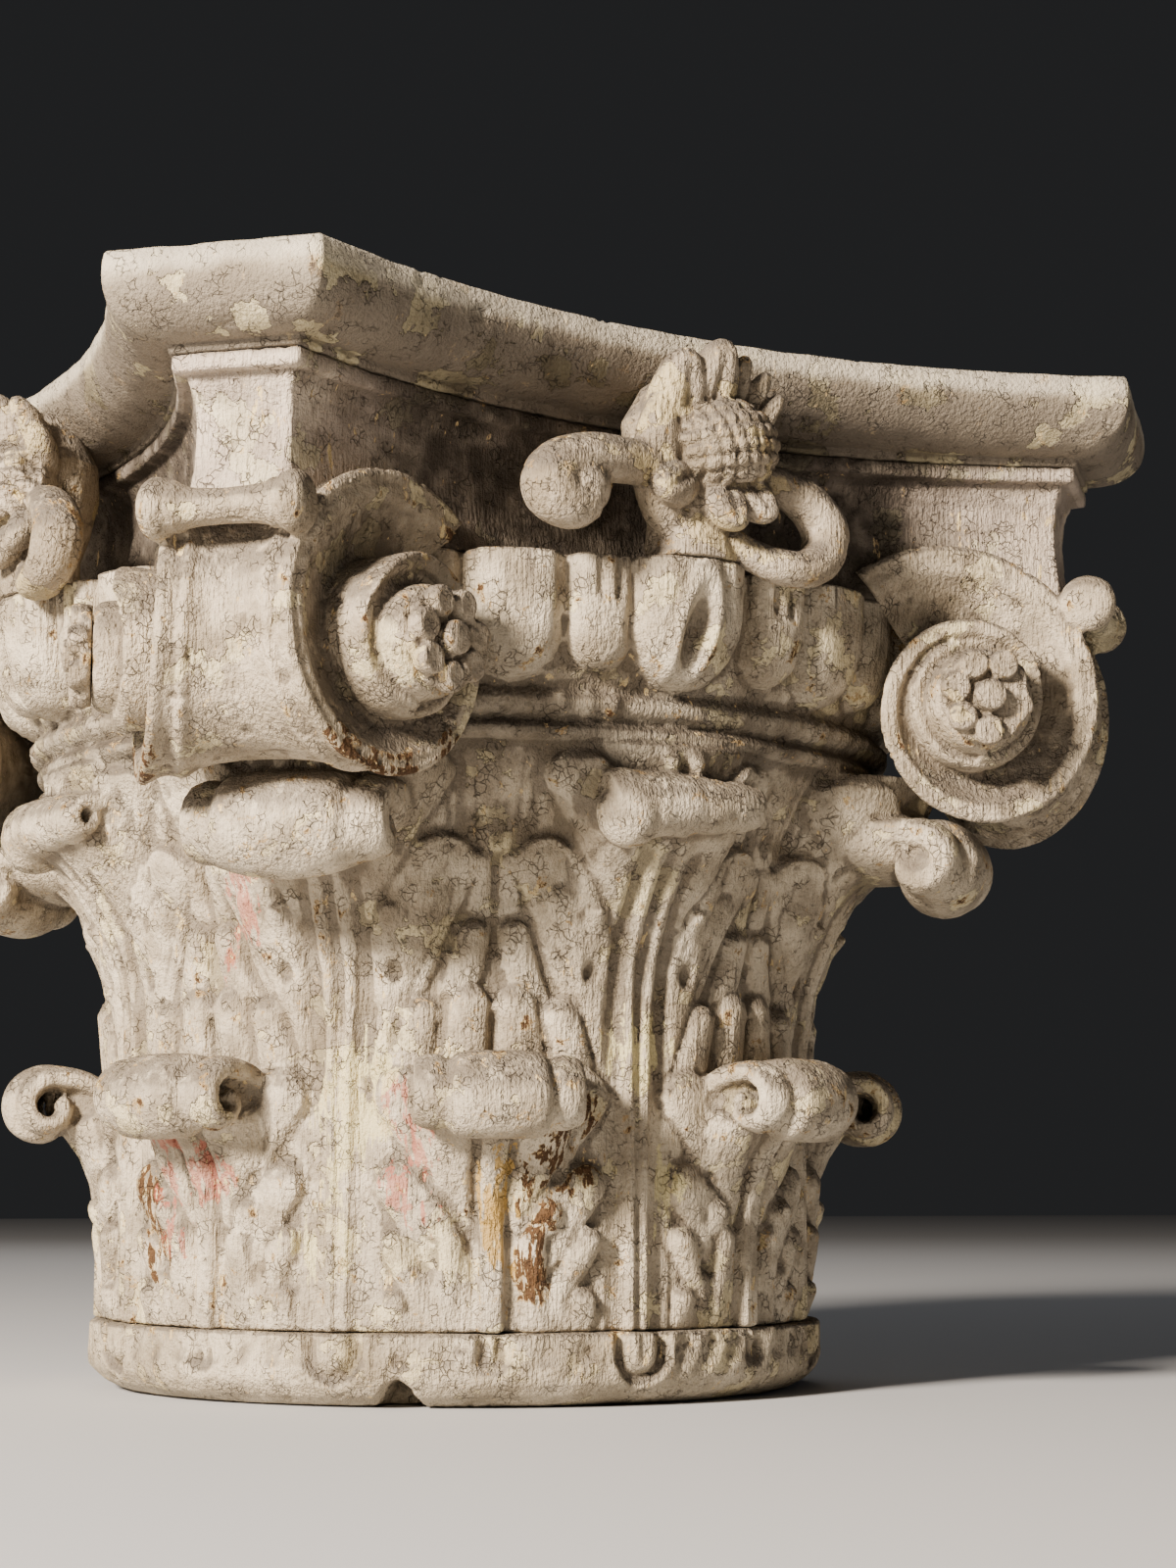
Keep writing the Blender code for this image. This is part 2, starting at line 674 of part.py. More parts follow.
def spool(name, material):
    """The turned roll with knobbed ends that lies across the top of a volute."""
    rows = (
        (-1.0, SPOOL_KNOB_RADIUS * 0.6),
        (-0.86, SPOOL_KNOB_RADIUS),
        (-0.62, SPOOL_RADIUS),
        (0.62, SPOOL_RADIUS),
        (0.86, SPOOL_KNOB_RADIUS),
        (1.0, SPOOL_KNOB_RADIUS * 0.6),
    )
    turn = 0.115
    seat = disc_point(turn, spiral_radius(turn), spiral_proud(turn), 1)
    centre = Vector((seat.x + 0.9 * SPOOL_KNOB_RADIUS, 0.0, seat.z - 0.2 * SPOOL_KNOB_RADIUS))
    points = []
    for share, radius in rows:
        for index in range(6):
            around = 2 * pi * index / 6
            points.append(centre + Vector((radius * cos(around), share * SPOOL_HALF_LENGTH, radius * sin(around))))
    return helper(solid(name, points, rings_to_faces([6] * len(rows)), material))


def rosette(name, angle, hand, material):
    """A small flower: a ring of round petals and a button, lying in the eye of a scroll."""
    seat = eye_proud() + JOINT_GAP
    petals = 2 * ROSETTE_PETALS

    def outline(index):
        return ROSETTE_RADIUS * (1.0 if index % 2 else 0.8)

    face = seat + ROSETTE_DEPTH
    points = disc_ring(petals, outline, seat, hand)
    points += disc_ring(petals, outline, face, hand)
    points += disc_ring(ROSETTE_PETALS, BUTTON_RADIUS * 1.15, face - 0.4 * ROSETTE_DEPTH, hand)
    points += disc_ring(ROSETTE_PETALS, BUTTON_RADIUS, face + BUTTON_PROUD, hand)
    faces = rings_to_faces([petals] * 2 + [ROSETTE_PETALS] * 2)
    return turned(solid(name, points, faces, material), angle)


def tube(name, route, sides, material):
    """A closed round bar along points, each with its own radius, lying across the X-Z plane."""
    points = []
    for index, (place, radius) in enumerate(route):
        before = route[max(0, index - 1)][0]
        after = route[min(len(route) - 1, index + 1)][0]
        along = (after - before).normalized()
        depth = Vector((0.0, 1.0, 0.0))
        over = along.cross(depth).normalized()
        for step in range(sides):
            around = 2 * pi * step / sides
            points.append(place + (over * cos(around) + depth * sin(around)) * radius)
    return helper(solid(name, points, rings_to_faces([sides] * len(route)), material))


def flower_spray(name, angle, seats, material):
    """A fleuron: a stem, a seed head, a leaf against the top board and two side scrolls."""
    head_level = BASE_HEIGHT + HEAD_HEIGHT
    scroll_level = BODY_TOP + SCROLL_RADIUS + SCROLL_LIFT
    mesh = bpy.data.meshes.new(name)
    work = bmesh.new()
    bmesh.ops.create_uvsphere(work, u_segments=8, v_segments=5, radius=1.0)
    size = Matrix.Diagonal((HEAD_HALF_WIDTH, HEAD_HALF_HEIGHT, HEAD_HALF_DEPTH, 1.0))
    place = Matrix.Translation((0.0, -HEAD_REACH, head_level)) @ Matrix.Rotation(radians(90), 4, "X") @ size
    bmesh.ops.transform(work, matrix=place, verts=work.verts)
    work.to_mesh(mesh)
    work.free()
    mesh.materials.append(material)
    item = bpy.data.objects.new(name, mesh)
    bpy.context.scene.collection.objects.link(item)
    turned(item, angle)

    parts = []
    points = []
    for lift, half, back, past_head in STEM_ROWS:
        height = BODY_TOP + lift
        front = HEAD_REACH + past_head
        middle = 0.5 * (back + front)
        points += [(-half, -back, height), (half, -back, height), (half, -middle, height)]
        for share in (STEM_FRONT_SHARE, -STEM_FRONT_SHARE):
            points.append((share * half, -front, height))
        points.append((-half, -middle, height))
    parts.append(helper(solid(f"{name}_stem", points, rings_to_faces([6] * len(STEM_ROWS)), material)))
    for hand in (-1, 1):
        root = Vector((0.0, -SCROLL_ROOT_REACH, head_level - 0.5 * HEAD_HALF_HEIGHT))
        route = [(root, 0.8 * SCROLL_THICKNESS)]
        for step in range(SCROLL_STEPS):
            around = radians(112 - 68 * step)
            reach = (SCROLL_RADIUS - SCROLL_THICKNESS * 0.5) * (1.0 - 0.13 * step)
            side = SCROLL_SPREAD + reach * cos(around)
            route.append((
                Vector((hand * side, -SCROLL_REACH - 0.002 * step, scroll_level + reach * sin(around))),
                SCROLL_THICKNESS * (0.62 - 0.05 * step),
            ))
        parts.append(tube(f"{name}_scroll_{hand}", route, 5, material))
    for part in parts:
        turned(part, angle)
    boolean(item, "UNION", gather(f"{name}_parts", parts))
    for seat in seats:
        boolean(item, "DIFFERENCE", seat)
    merge_flats(item)
    return item


def build():
    """Clears the scene and models the capital."""
    for item in list(bpy.data.objects):
        bpy.data.objects.remove(item, do_unlink=True)

    cream = paint("old_cream_paint", (0.66, 0.59, 0.50), 0.78)
    pink_white = paint("pinkish_white_paint", (0.68, 0.60, 0.54), 0.80)
    grey_cream = paint("dirty_cream_paint", (0.58, 0.53, 0.46), 0.82)
    stone_white = paint("chalky_white_paint", (0.70, 0.65, 0.58), 0.80)
    ochre = paint("worn_ochre_paint", (0.60, 0.50, 0.38), 0.80)

    crown = moulded_block("abacus_crown", crown_rows(), cream)
    neck = moulded_block("abacus_neck", neck_rows(), pink_white)
    bell = body(stone_white)
    foot = base_course(grey_cream)

    neck_seat = helper(moulded_block("neck_seat", neck_rows(JOINT_GAP), cream))
    crown_seat = helper(moulded_block("crown_seat", crown_rows(JOINT_GAP), cream))
    body_seat = helper(lathe("body_seat", body_profile(JOINT_GAP), cream))

    for index, corner in enumerate(CORNERS):
        angle = -135.0 + 90.0 * index
        volute(f"volute_{corner}", angle, (neck_seat, body_seat), cream)
        sides = corner.split("_")
        # Seen from outside, the scroll on the +90 degree side of each corner comes first.
        order = sides if index % 2 == 0 else sides[::-1]
        for hand, side in ((1, order[0]), (-1, order[1])):
            rosette(f"rosette_{corner}_on_{side}", angle, hand, ochre)

    for index, side in enumerate(SIDES):
        flower_spray(f"fleuron_{side}", 90.0 * index, (neck_seat, crown_seat, body_seat), grey_cream)

    for item in (crown, neck, bell, foot):
        shade_round(item)


build()
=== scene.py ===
"""The looks of a carved wooden capital: its carving in full detail and its old, crackled paint.

Shapes are worked out in millimetres, +Z up, with the front side facing -Y.
"""

import bpy
import numpy as np
from math import atan2, cos, pi, radians, sin, sqrt, tan
from mathutils import Matrix, Vector, noise


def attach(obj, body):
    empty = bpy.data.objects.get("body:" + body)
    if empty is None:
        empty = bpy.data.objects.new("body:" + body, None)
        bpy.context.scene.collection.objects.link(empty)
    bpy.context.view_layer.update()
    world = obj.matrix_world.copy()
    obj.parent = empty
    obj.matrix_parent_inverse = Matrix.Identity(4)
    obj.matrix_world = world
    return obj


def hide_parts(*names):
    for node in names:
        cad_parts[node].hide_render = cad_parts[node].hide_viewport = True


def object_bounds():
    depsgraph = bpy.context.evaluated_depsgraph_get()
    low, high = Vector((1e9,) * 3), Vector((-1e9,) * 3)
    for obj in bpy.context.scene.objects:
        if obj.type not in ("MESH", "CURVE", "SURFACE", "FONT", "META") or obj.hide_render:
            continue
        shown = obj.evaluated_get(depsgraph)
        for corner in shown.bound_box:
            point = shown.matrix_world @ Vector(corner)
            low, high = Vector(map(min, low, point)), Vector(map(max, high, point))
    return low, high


MM = 0.001

# Levels of the courses, in millimetres.
BASE_TOP = 26.8
BODY_FOOT = 27.1
BODY_TOP = 309.0
NECK_FOOT = 309.3
NECK_TOP = 364.5
CROWN_FOOT = 364.8
CROWN_TOP = 396.0

# The drum behind the leaves.
DRUM_RADIUS = 141.0
FLARE_FOOT = 155.1
FLARE_RADIUS = 171.0
RING_FOOT = 242.5

# Plan of the top board: four hollow sides between four cut-off horns.
HORN_REACH = 285.5
SIDE_REACH = 189.0
SIDE_HOLLOW_RADIUS = 387.6

# Volutes, in their own frame: +X out along the diagonal.
EYE_OUT = 225.0
EYE_SIDE = 52.0
EYE_LEVEL = 266.0
DISC_TURN = 23.7
SPIRAL_RADIUS = 65.0
SPIRAL_SHRINK = 0.5
SPIRAL_WIDTH = 0.97
SPIRAL_LEAD = 42.0 / 360.0
SPIRAL_TURNS = 1.5
SPIRAL_SINK = 12.0
SPIRAL_RISE = 17.0

# Directions, in degrees, of three leaves that bear marks: two of the lower row and the corner leaf between.
FRONT_LEAF = -112.5
SIDE_LEAF = -157.5
CORNER_LEAF = -135.0

# How far the relief of the paint stands up, in millimetres.
RELIEF = 3.1

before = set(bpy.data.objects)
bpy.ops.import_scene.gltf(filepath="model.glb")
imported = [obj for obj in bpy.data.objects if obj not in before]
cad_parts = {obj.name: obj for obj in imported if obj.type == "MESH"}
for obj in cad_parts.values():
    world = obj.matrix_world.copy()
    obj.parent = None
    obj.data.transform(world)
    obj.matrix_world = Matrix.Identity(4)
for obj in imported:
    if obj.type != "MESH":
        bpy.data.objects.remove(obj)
cad_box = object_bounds()


# Mesh tools


def make(name, points, faces):
    """A mesh object from points in millimetres and faces."""
    mesh = bpy.data.meshes.new(name)
    mesh.from_pydata((np.asarray(points, float) * MM).tolist(), [], [list(map(int, face)) for face in faces])
    mesh.update()
    item = bpy.data.objects.new(name, mesh)
    bpy.context.scene.collection.objects.link(item)
    return item


def pick(item):
    """Makes an object the only selected and the active one."""
    bpy.ops.object.select_all(action="DESELECT")
    item.select_set(True)
    bpy.context.view_layer.objects.active = item


def modify(item, kind, **settings):
    """Adds a modifier with its settings and applies it."""
    modifier = item.modifiers.new(kind.title(), kind)
    for key, value in settings.items():
        setattr(modifier, key, value)
    pick(item)
    bpy.ops.object.modifier_apply(modifier=modifier.name)
    return item


def joined(name, items):
    """Joins objects into one."""
    bpy.ops.object.select_all(action="DESELECT")
    for item in items:
        item.select_set(True)
    bpy.context.view_layer.objects.active = items[0]
    bpy.ops.object.join()
    items[0].name = name
    return items[0]


def fused(item, voxel, triangles):
    """Fuses the shells of an object into one skin and thins it to a number of triangles."""
    coarse = 1.0
    modify(item, "REMESH", mode="VOXEL", voxel_size=voxel * MM * coarse)
    count = sum(len(face.vertices) - 2 for face in item.data.polygons)
    wanted = triangles / coarse ** 2
    if count > wanted:
        modify(item, "DECIMATE", ratio=wanted / count)
    return item


def grid_faces(rows, columns, wrap=False):
    """Quads between the points of a grid, closed round if wrap is set."""
    width = columns if wrap else columns - 1
    row, column = np.meshgrid(np.arange(rows - 1), np.arange(width), indexing="ij")
    a = row * columns + column
    b = row * columns + (column + 1) % columns
    return np.stack([a, b, b + columns, a + columns], -1).reshape(-1, 4).tolist()


def tube_faces(rows, columns):
    """Faces of closed rings joined to a bar, with both ends capped."""
    faces = grid_faces(rows, columns, wrap=True)
    faces.append(list(range(columns))[::-1])
    faces.append([(rows - 1) * columns + i for i in range(columns)])
    return faces


def points_of(item):
    found = np.empty(len(item.data.vertices) * 3)
    item.data.vertices.foreach_get("co", found)
    return found.reshape(-1, 3) / MM


def normals_of(item):
    found = np.empty(len(item.data.vertices) * 3)
    item.data.vertices.foreach_get("normal", found)
    return found.reshape(-1, 3)


def put_points(item, points):
    item.data.vertices.foreach_set("co", (points * MM).ravel())
    item.data.update()


def attribute(item, name, values):
    """Stores one number per point, for the paint to read."""
    layer = item.data.attributes.get(name) or item.data.attributes.new(name, "FLOAT", "POINT")
    layer.data.foreach_set("value", np.asarray(values, np.float32))


def smoothed(item, values, rounds):
    """Values averaged over neighbouring points a number of times."""
    edges = np.empty(len(item.data.edges) * 2, int)
    item.data.edges.foreach_get("vertices", edges)
    a, b = edges.reshape(-1, 2).T
    count = len(values)
    share = np.bincount(a, minlength=count) + np.bincount(b, minlength=count) + 1.0
    values = values.copy()
    for _ in range(rounds):
        total = [
            np.bincount(a, values[b, k], count) + np.bincount(b, values[a, k], count) + values[:, k]
            for k in range(values.shape[1])
        ]
        values = np.stack(total, 1) / share[:, None]
    return values


def bumps(points, size, seed=0.0, octaves=1):
    """Smooth noise from about -1 to 1 with features of a size in millimetres."""
    shift = Vector((seed * 17.3, seed * 5.1, seed * 9.7))
    if octaves == 1:
        return np.array([noise.noise(Vector(p) / size + shift) for p in points])
    return np.array([noise.fractal(Vector(p) / size + shift, 0.6, 2.0, octaves) for p in points])


def weathered(item, swell=0.45, chips=0.9, seed=0.0):
    """Uneven old wood and paint: slow swelling, small lumps and flaked spots."""
    points = points_of(item)
    normals = normals_of(item)
    push = swell * bumps(points, 14.0, seed) + 0.14 * bumps(points, 4.5, seed + 1)
    flakes = bumps(points, 9.0, seed + 2, 3)
    push -= chips * np.clip(flakes - 0.55, 0.0, 0.25) / 0.25
    put_points(item, points + normals * push[:, None])
    return item


def finished(item, node, material, marks=()):
    """Measures hollows, edges and upward faces, shades round and hands the piece over."""
    low, high = (np.array(corner) / MM for corner in cad_box)
    put_points(item, np.clip(points_of(item), low + 0.02, high - 0.02))
    points = points_of(item)
    normals = normals_of(item)
    near = np.einsum("ij,ij->i", smoothed(item, points, 6) - points, normals)
    wide = np.einsum("ij,ij->i", smoothed(item, points, 40) - points, normals)
    attribute(item, "hollow", np.clip(0.5 + 0.6 * near + 0.16 * wide, 0.0, 1.0))
    attribute(item, "upward", np.clip(normals[:, 2], 0.0, 1.0))
    for name, values in marks:
        attribute(item, name, values)
    item.data.materials.clear()
    item.data.materials.append(material)
    item.data.shade_smooth()
    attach(item, "root")
    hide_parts(node)
    return item


def turned_copy(item, name, angle):
    """A copy with a mesh of its own, turned about the capital's axis."""
    other = item.copy()
    other.data = item.data.copy()
    other.name = name
    other.data.name = name
    bpy.context.scene.collection.objects.link(other)
    other.data.transform(Matrix.Rotation(radians(angle), 4, "Z"))
    return other


# Carving laid on the drum: fields of height over the way round (a, in millimetres) and the level (z)


COLUMNS = 720
ROWS = 236
# Millimetres to a degree round the drum, at the 150 mm radius of the leaves.
SCALE = 150.0 * pi / 180.0
# Each row has eight leaves, and the lower row stands half a step round from the upper one.
LEAVES = 8
LEAF_STEP = 360.0 / LEAVES
# How far the leaves sweep out of the drum: levels, and the reach at each.
FACE_SWEEP = ((148, 165, 182, 198, 210, 222), (0, 2.5, 7, 13, 20, 10))
CORNER_SWEEP = ((138, 158, 178, 196, 212, 228), (0, 3, 9, 13, 22, 28))
LOW_SWEEP = ((62, 80, 92, 104, 112), (0, 3, 8, 17, 0))


def along(points, a, z):
    """Distance to a line through points, and the share of its length at the nearest place."""
    points = np.array(points, float)
    steps = np.diff(points, axis=0)
    lengths = np.hypot(steps[:, 0], steps[:, 1])
    best = np.full(a.shape, 1e9)
    share = np.zeros(a.shape)
    done = 0.0
    for (x, y), (dx, dy), length in zip(points, steps, lengths):
        t = np.clip(((a - x) * dx + (z - y) * dy) / length ** 2, 0.0, 1.0)
        distance = np.hypot(a - x - t * dx, z - y - t * dy)
        closer = distance < best
        best = np.where(closer, distance, best)
        share = np.where(closer, (done + t * length) / lengths.sum(), share)
        done += length
    return best, share


def lobe(field, a, z, points, widths, rise=5.0, floor=3.0, moat=2.2, vein=1.0):
    """Lays a finger of the leaf over what is there: it grows out of the leaf and stands free at its tip."""
    distance, share = along(points, a, z)
    width = np.interp(share, np.linspace(0.0, 1.0, len(widths)), widths)
    across = distance / width
    body = 1.1 * rise * share ** 1.1 * np.sqrt(np.clip(1.0 - across ** 8, 0.0, 1.0))
    body += 1.1 * share ** 0.7 * np.clip(1.0 - across ** 2, 0.0, 1.0)
    # A groove that follows the outline, and a thin one down the middle.
    body -= vein * share ** 0.5 * np.exp(-((across - 0.62) * width / 1.2) ** 2)
    body -= 0.45 * vein * share ** 0.5 * np.exp(-(distance / 1.0) ** 2)
    ditch = moat * np.exp(-(np.clip(distance - width, 0.0, None) / 1.9) ** 2) * share ** 1.5
    return np.where(across < 1.0, np.maximum(field, floor + body), field - ditch)


def both_halves(field, a, z, points, widths, **settings):
    """Lays the same lobe on the left and right half of a leaf."""
    for hand in (-1, 1):
        mirrored = [(hand * x, y) for x, y in points]
        field = lobe(field, a, z, mirrored, widths, **settings)
    return field


def pit(field, a, z, place, depth, radius):
    """A drilled eye on each half of a leaf."""
    away = np.hypot(np.abs(a) - place[0], (z - place[1]) / 1.5)
    return field - depth * np.exp(-(away / radius) ** 3)


def upper_leaf(a, z):
    """Height of an upper leaf: four tiers of fingers on each half, and a double midrib."""
    side = np.abs(a)
    head = np.where(side < 44.0, 231.0, 212.0)
    field = 0.6 + 2.4 * np.clip((head - z) / 7.0, 0.0, 1.0) + 0.4 * np.sin(side * 1.3 + z * 0.06)
    field = np.where(side > 57.6, field - 1.4, field)
    fingers = (
        (((9, 150), (13, 188), (24, 217), (34, 231)), (3, 6.5, 11, 9.5), {"rise": 4.2}),
        (((50.5, 176), (51, 197)), (6, 6.2), {"rise": 3.2}),
        (((10, 104), (17, 140), (28, 173), (41, 198)), (3.5, 7.5, 13, 11), {"rise": 4.6, "vein": 1.5}),
        (((17, 132), (25, 160), (36, 184)), (3, 5.5, 5.6), {"rise": 5.8, "vein": 0.5, "moat": 1.2}),
        (((26, 94), (38, 128), (47, 156), (51, 172)), (4.5, 7, 8, 6.2), {"rise": 4.0}),
        (((38, 84), (44, 106), (48, 128), (50.5, 147)), (5, 7.5, 9, 7.4), {"rise": 4.8}),
        (((16, 84), (23, 108), (28, 128), (32, 143)), (4, 6.5, 8, 6.4), {"rise": 4.4}),
        (((21.5, 168), (21.5, 180)), (3.8, 3.5), {"rise": 4.0, "floor": 3.6, "vein": 0.0}),
    )
    for points, widths, settings in fingers:
        field = both_halves(field, a, z, points, widths, **settings)
    field = pit(field, a, z, (21.5, 159.5), 5.0, 2.6)
    field = pit(field, a, z, (25.0, 203.0), 2.5, 2.2)
    field = pit(field, a, z, (40.0, 149.0), 2.5, 2.0)
    # The midrib: two ridges and the groove between them, spreading as they rise, between smooth flutes.
    spread = 3.0 + 1.6 * np.clip((z - 100.0) / 60.0, 0.0, 1.0)
    ridge = 2.6 + 0.5 * np.clip((z - 100.0) / 60.0, 0.0, 1.0)
    rib = 6.4 * np.sqrt(np.clip(1.0 - ((side - spread) / ridge) ** 2, 0.0, 1.0))
    rib = np.maximum(rib, np.where(side < spread, 2.6, 0.0))
    flute = 2.2 + 1.7 * ((side - spread - ridge - 4.0) / 5.0) ** 2
    reach = 15.5 - 2.5 * np.clip((z - 120.0) / 60.0, 0.0, 1.0)
    field = np.where((side < reach) & (z < 230.0), np.minimum(flute, 4.0), field)
    field = np.where(side < spread + ridge, np.maximum(rib, 1.8), field)
    return field * np.clip((241.0 - z) / 5.0, 0.0, 1.0)


def swelling(a, z, sweep, half):
    """How far a leaf sweeps out of the drum towards its curl."""
    share = np.clip(1.0 - (np.abs(a) / half) ** 3, 0.0, 1.0)
    return np.interp(z, *sweep) * share


def lower_leaf(field, a, z):
    """Lays a lower leaf over what is there."""
    side = np.abs(a)
    half = np.interp(z, (27, 45, 62, 80, 92, 110, 119), (34, 33, 34, 30, 32, 35, 30))
    plate = 3.4 + 0.4 * np.sin(side * 1.5 + z * 0.05)
    field = np.where((side < half) & (z < 120.0), plate, np.where(side < half + 2.5, field - 0.9, field))
    fingers = (
        (((9, 44), (12, 76), (23, 100), (35.5, 113)), (3, 7.5, 13, 10.5), {"rise": 5.2, "vein": 1.4}),
        (((9, 26), (13, 48), (24, 67), (36, 80)), (3, 7, 11, 8.6), {"rise": 5.0, "vein": 1.4}),
        (((9, 34), (14, 56), (22, 70)), (3, 5.2, 5.4), {"rise": 5.8, "vein": 0.5}),
        (((20, 24), (31, 48), (38, 60)), (4, 5.6, 5.2), {"rise": 4.6, "vein": 0.8}),
        (((20, 18), (17, 42), (15.5, 60)), (4.5, 4.8, 5.2), {"rise": 4.6, "vein": 0.6}),
        (((36.5, 26), (36.5, 38)), (5.4, 5.0), {"rise": 3.2, "vein": 0.0}),
    )
    for points, widths, settings in fingers:
        field = both_halves(field, a, z, points, widths, **settings)
    field = pit(field, a, z, (24.5, 83.0), 3.5, 2.2)
    field = pit(field, a, z, (27.5, 50.0), 2.5, 2.0)
    rib = np.where(side < 4.2, 7.0, np.where(side < 9.0, 2.4 + 0.06 * (side - 6.5) ** 2, -99.0))
    field = np.where((side < 9.0) & (z < 106.0), rib, field)
    return field + swelling(a, z, LOW_SWEEP, 30.0)


def drum_radius(z):
    """The drum behind the leaves, which flares towards the ring."""
    share = np.clip((z - FLARE_FOOT) / (RING_FOOT - FLARE_FOOT), 0.0, 1.0)
    return DRUM_RADIUS + (FLARE_RADIUS - DRUM_RADIUS) * share ** 1.8


def egg_course(a, z):
    """Radius of the mouldings over the leaves. Here a runs in millimetres at a radius of 190."""
    side = np.abs(a)
    wall = np.interp(z, (261.5, 266.0, 288.0, 309.0), (174.0, 179.0, 184.5, 186.0))
    field = np.zeros(a.shape)

    def boss(field, middle, half, foot, proud, square, shell=0.0):
        # A cup with upright sides above its round lower end, and a thin shell round an egg.
        distance = np.hypot(middle, np.clip(foot + half - z, 0.0, None))
        across = distance / half
        height = proud * np.clip(1.0 - across ** square, 0.0, 1.0) ** 0.5
        height -= shell * np.exp(-((across - 0.84) / 0.045) ** 2)
        ditch = 3.0 * np.exp(-(np.clip(distance - half, 0.0, None) / 2.0) ** 2)
        return np.where(across < 1.0, height, field - ditch)

    field = boss(field, side - 106.0, 14.0, 266.0, 9.0, 2.6)
    field = boss(field, side - 140.0, 16.5, 263.0, 10.5, 3.0, 3.0)
    field = boss(field, side - 72.0, 18.8, 263.0, 11.5, 3.2, 3.0)
    field = boss(field, side - 38.5, 13.4, 267.0, 10.0, 3.6)
    field = boss(field, a + 4.5, 24.0, 261.6, 16.5, 3.0)
    for centre, depth in ((34.0, 5.0), (41.0, 4.5)):
        field -= depth * np.exp(-((side - centre) / 1.3) ** 2) * np.clip((z - 290.0) / 6.0, 0.0, 1.0)
    opening = np.hypot((a + 5.5 - 0.12 * (z - 281.0)) / 5.0, (z - 281.0) / 15.0)
    field -= 8.0 * np.clip(1.1 - opening, 0.0, 0.7) / 0.7
    lips = np.exp(-((opening - 1.5) / 0.22) ** 2) - 0.9 * np.exp(-((opening - 2.15) / 0.2) ** 2)
    return wall + field + 1.8 * lips


def mouldings(theta, z):
    """Radius of the ring, the beads and the egg course by angle and level."""
    off_side = (theta + 45.0) % 90.0 - 45.0
    # A plain stretch in the middle of each side, then beads 10.2 mm apart at a radius of 180.
    arc = np.abs(off_side) * 180.0 * pi / 180.0
    beads = np.where(arc < 23.0, 1.0, np.abs(np.cos(pi * (arc - 23.0) / 10.2)) ** 0.5)
    beads = np.clip(1.0 - beads, 0.0, 1.0)
    ring = 170.5 + 6.0 * np.sqrt(np.clip(1.0 - ((z - 246.0) / 3.6) ** 2, 0.0, 1.0))
    bead_height = np.sqrt(np.clip(1.0 - ((z - 256.0) / 5.4) ** 2, 0.0, 1.0))
    bead = 172.0 + 9.8 * bead_height * (1.0 - 0.42 * (1.0 - beads))
    course = egg_course(off_side * 190.0 * pi / 180.0, z)
    return np.where(z < 250.0, ring, np.where(z < 261.5, bead, course))


def drum():
    """The carved drum from the joint at its foot to the neck, as one closed skin."""
    columns = COLUMNS // 1
    rows = ROWS // 1
    levels = np.linspace(BODY_FOOT, BODY_TOP - 0.3, rows)
    theta = np.arange(columns) * 360.0 / columns - 180.0
    angle, z = np.meshgrid(theta, levels)
    field = np.zeros(angle.shape)
    for index in range(LEAVES):
        a = ((angle + 90.0 - LEAF_STEP * index + 180.0) % 360.0 - 180.0) * SCALE
        within = np.abs(a) <= LEAF_STEP / 2 * SCALE
        sweep = swelling(a, z, FACE_SWEEP, 33.0) if index % 2 == 0 else swelling(a, z, CORNER_SWEEP, 42.0)
        field = np.where(within, upper_leaf(a, z) + sweep, field)
    for index in range(LEAVES):
        a = ((angle + 90.0 - LEAF_STEP * (index + 0.5) + 180.0) % 360.0 - 180.0) * SCALE
        close = np.abs(a) < 50.0
        field = np.where(close, lower_leaf(field, a, z), field)
    # A long crack down the leaf left of the middle of the front.
    a = (angle - FRONT_LEAF) * SCALE
    away, _ = along(((2.0, 96.0), (3.5, 74.0), (7.0, 52.0), (12.0, 27.0)), a, z)
    field -= 2.6 * np.exp(-(away / 1.1) ** 2)
    radius = drum_radius(z) + field
    radius = np.where(z < RING_FOOT, radius, mouldings(angle + 90.0, z))
    turn = np.radians(angle)
    points = np.stack([radius * np.cos(turn), radius * np.sin(turn), z], -1).reshape(-1, 3)
    return make("carved_drum", points, tube_faces(rows, columns))


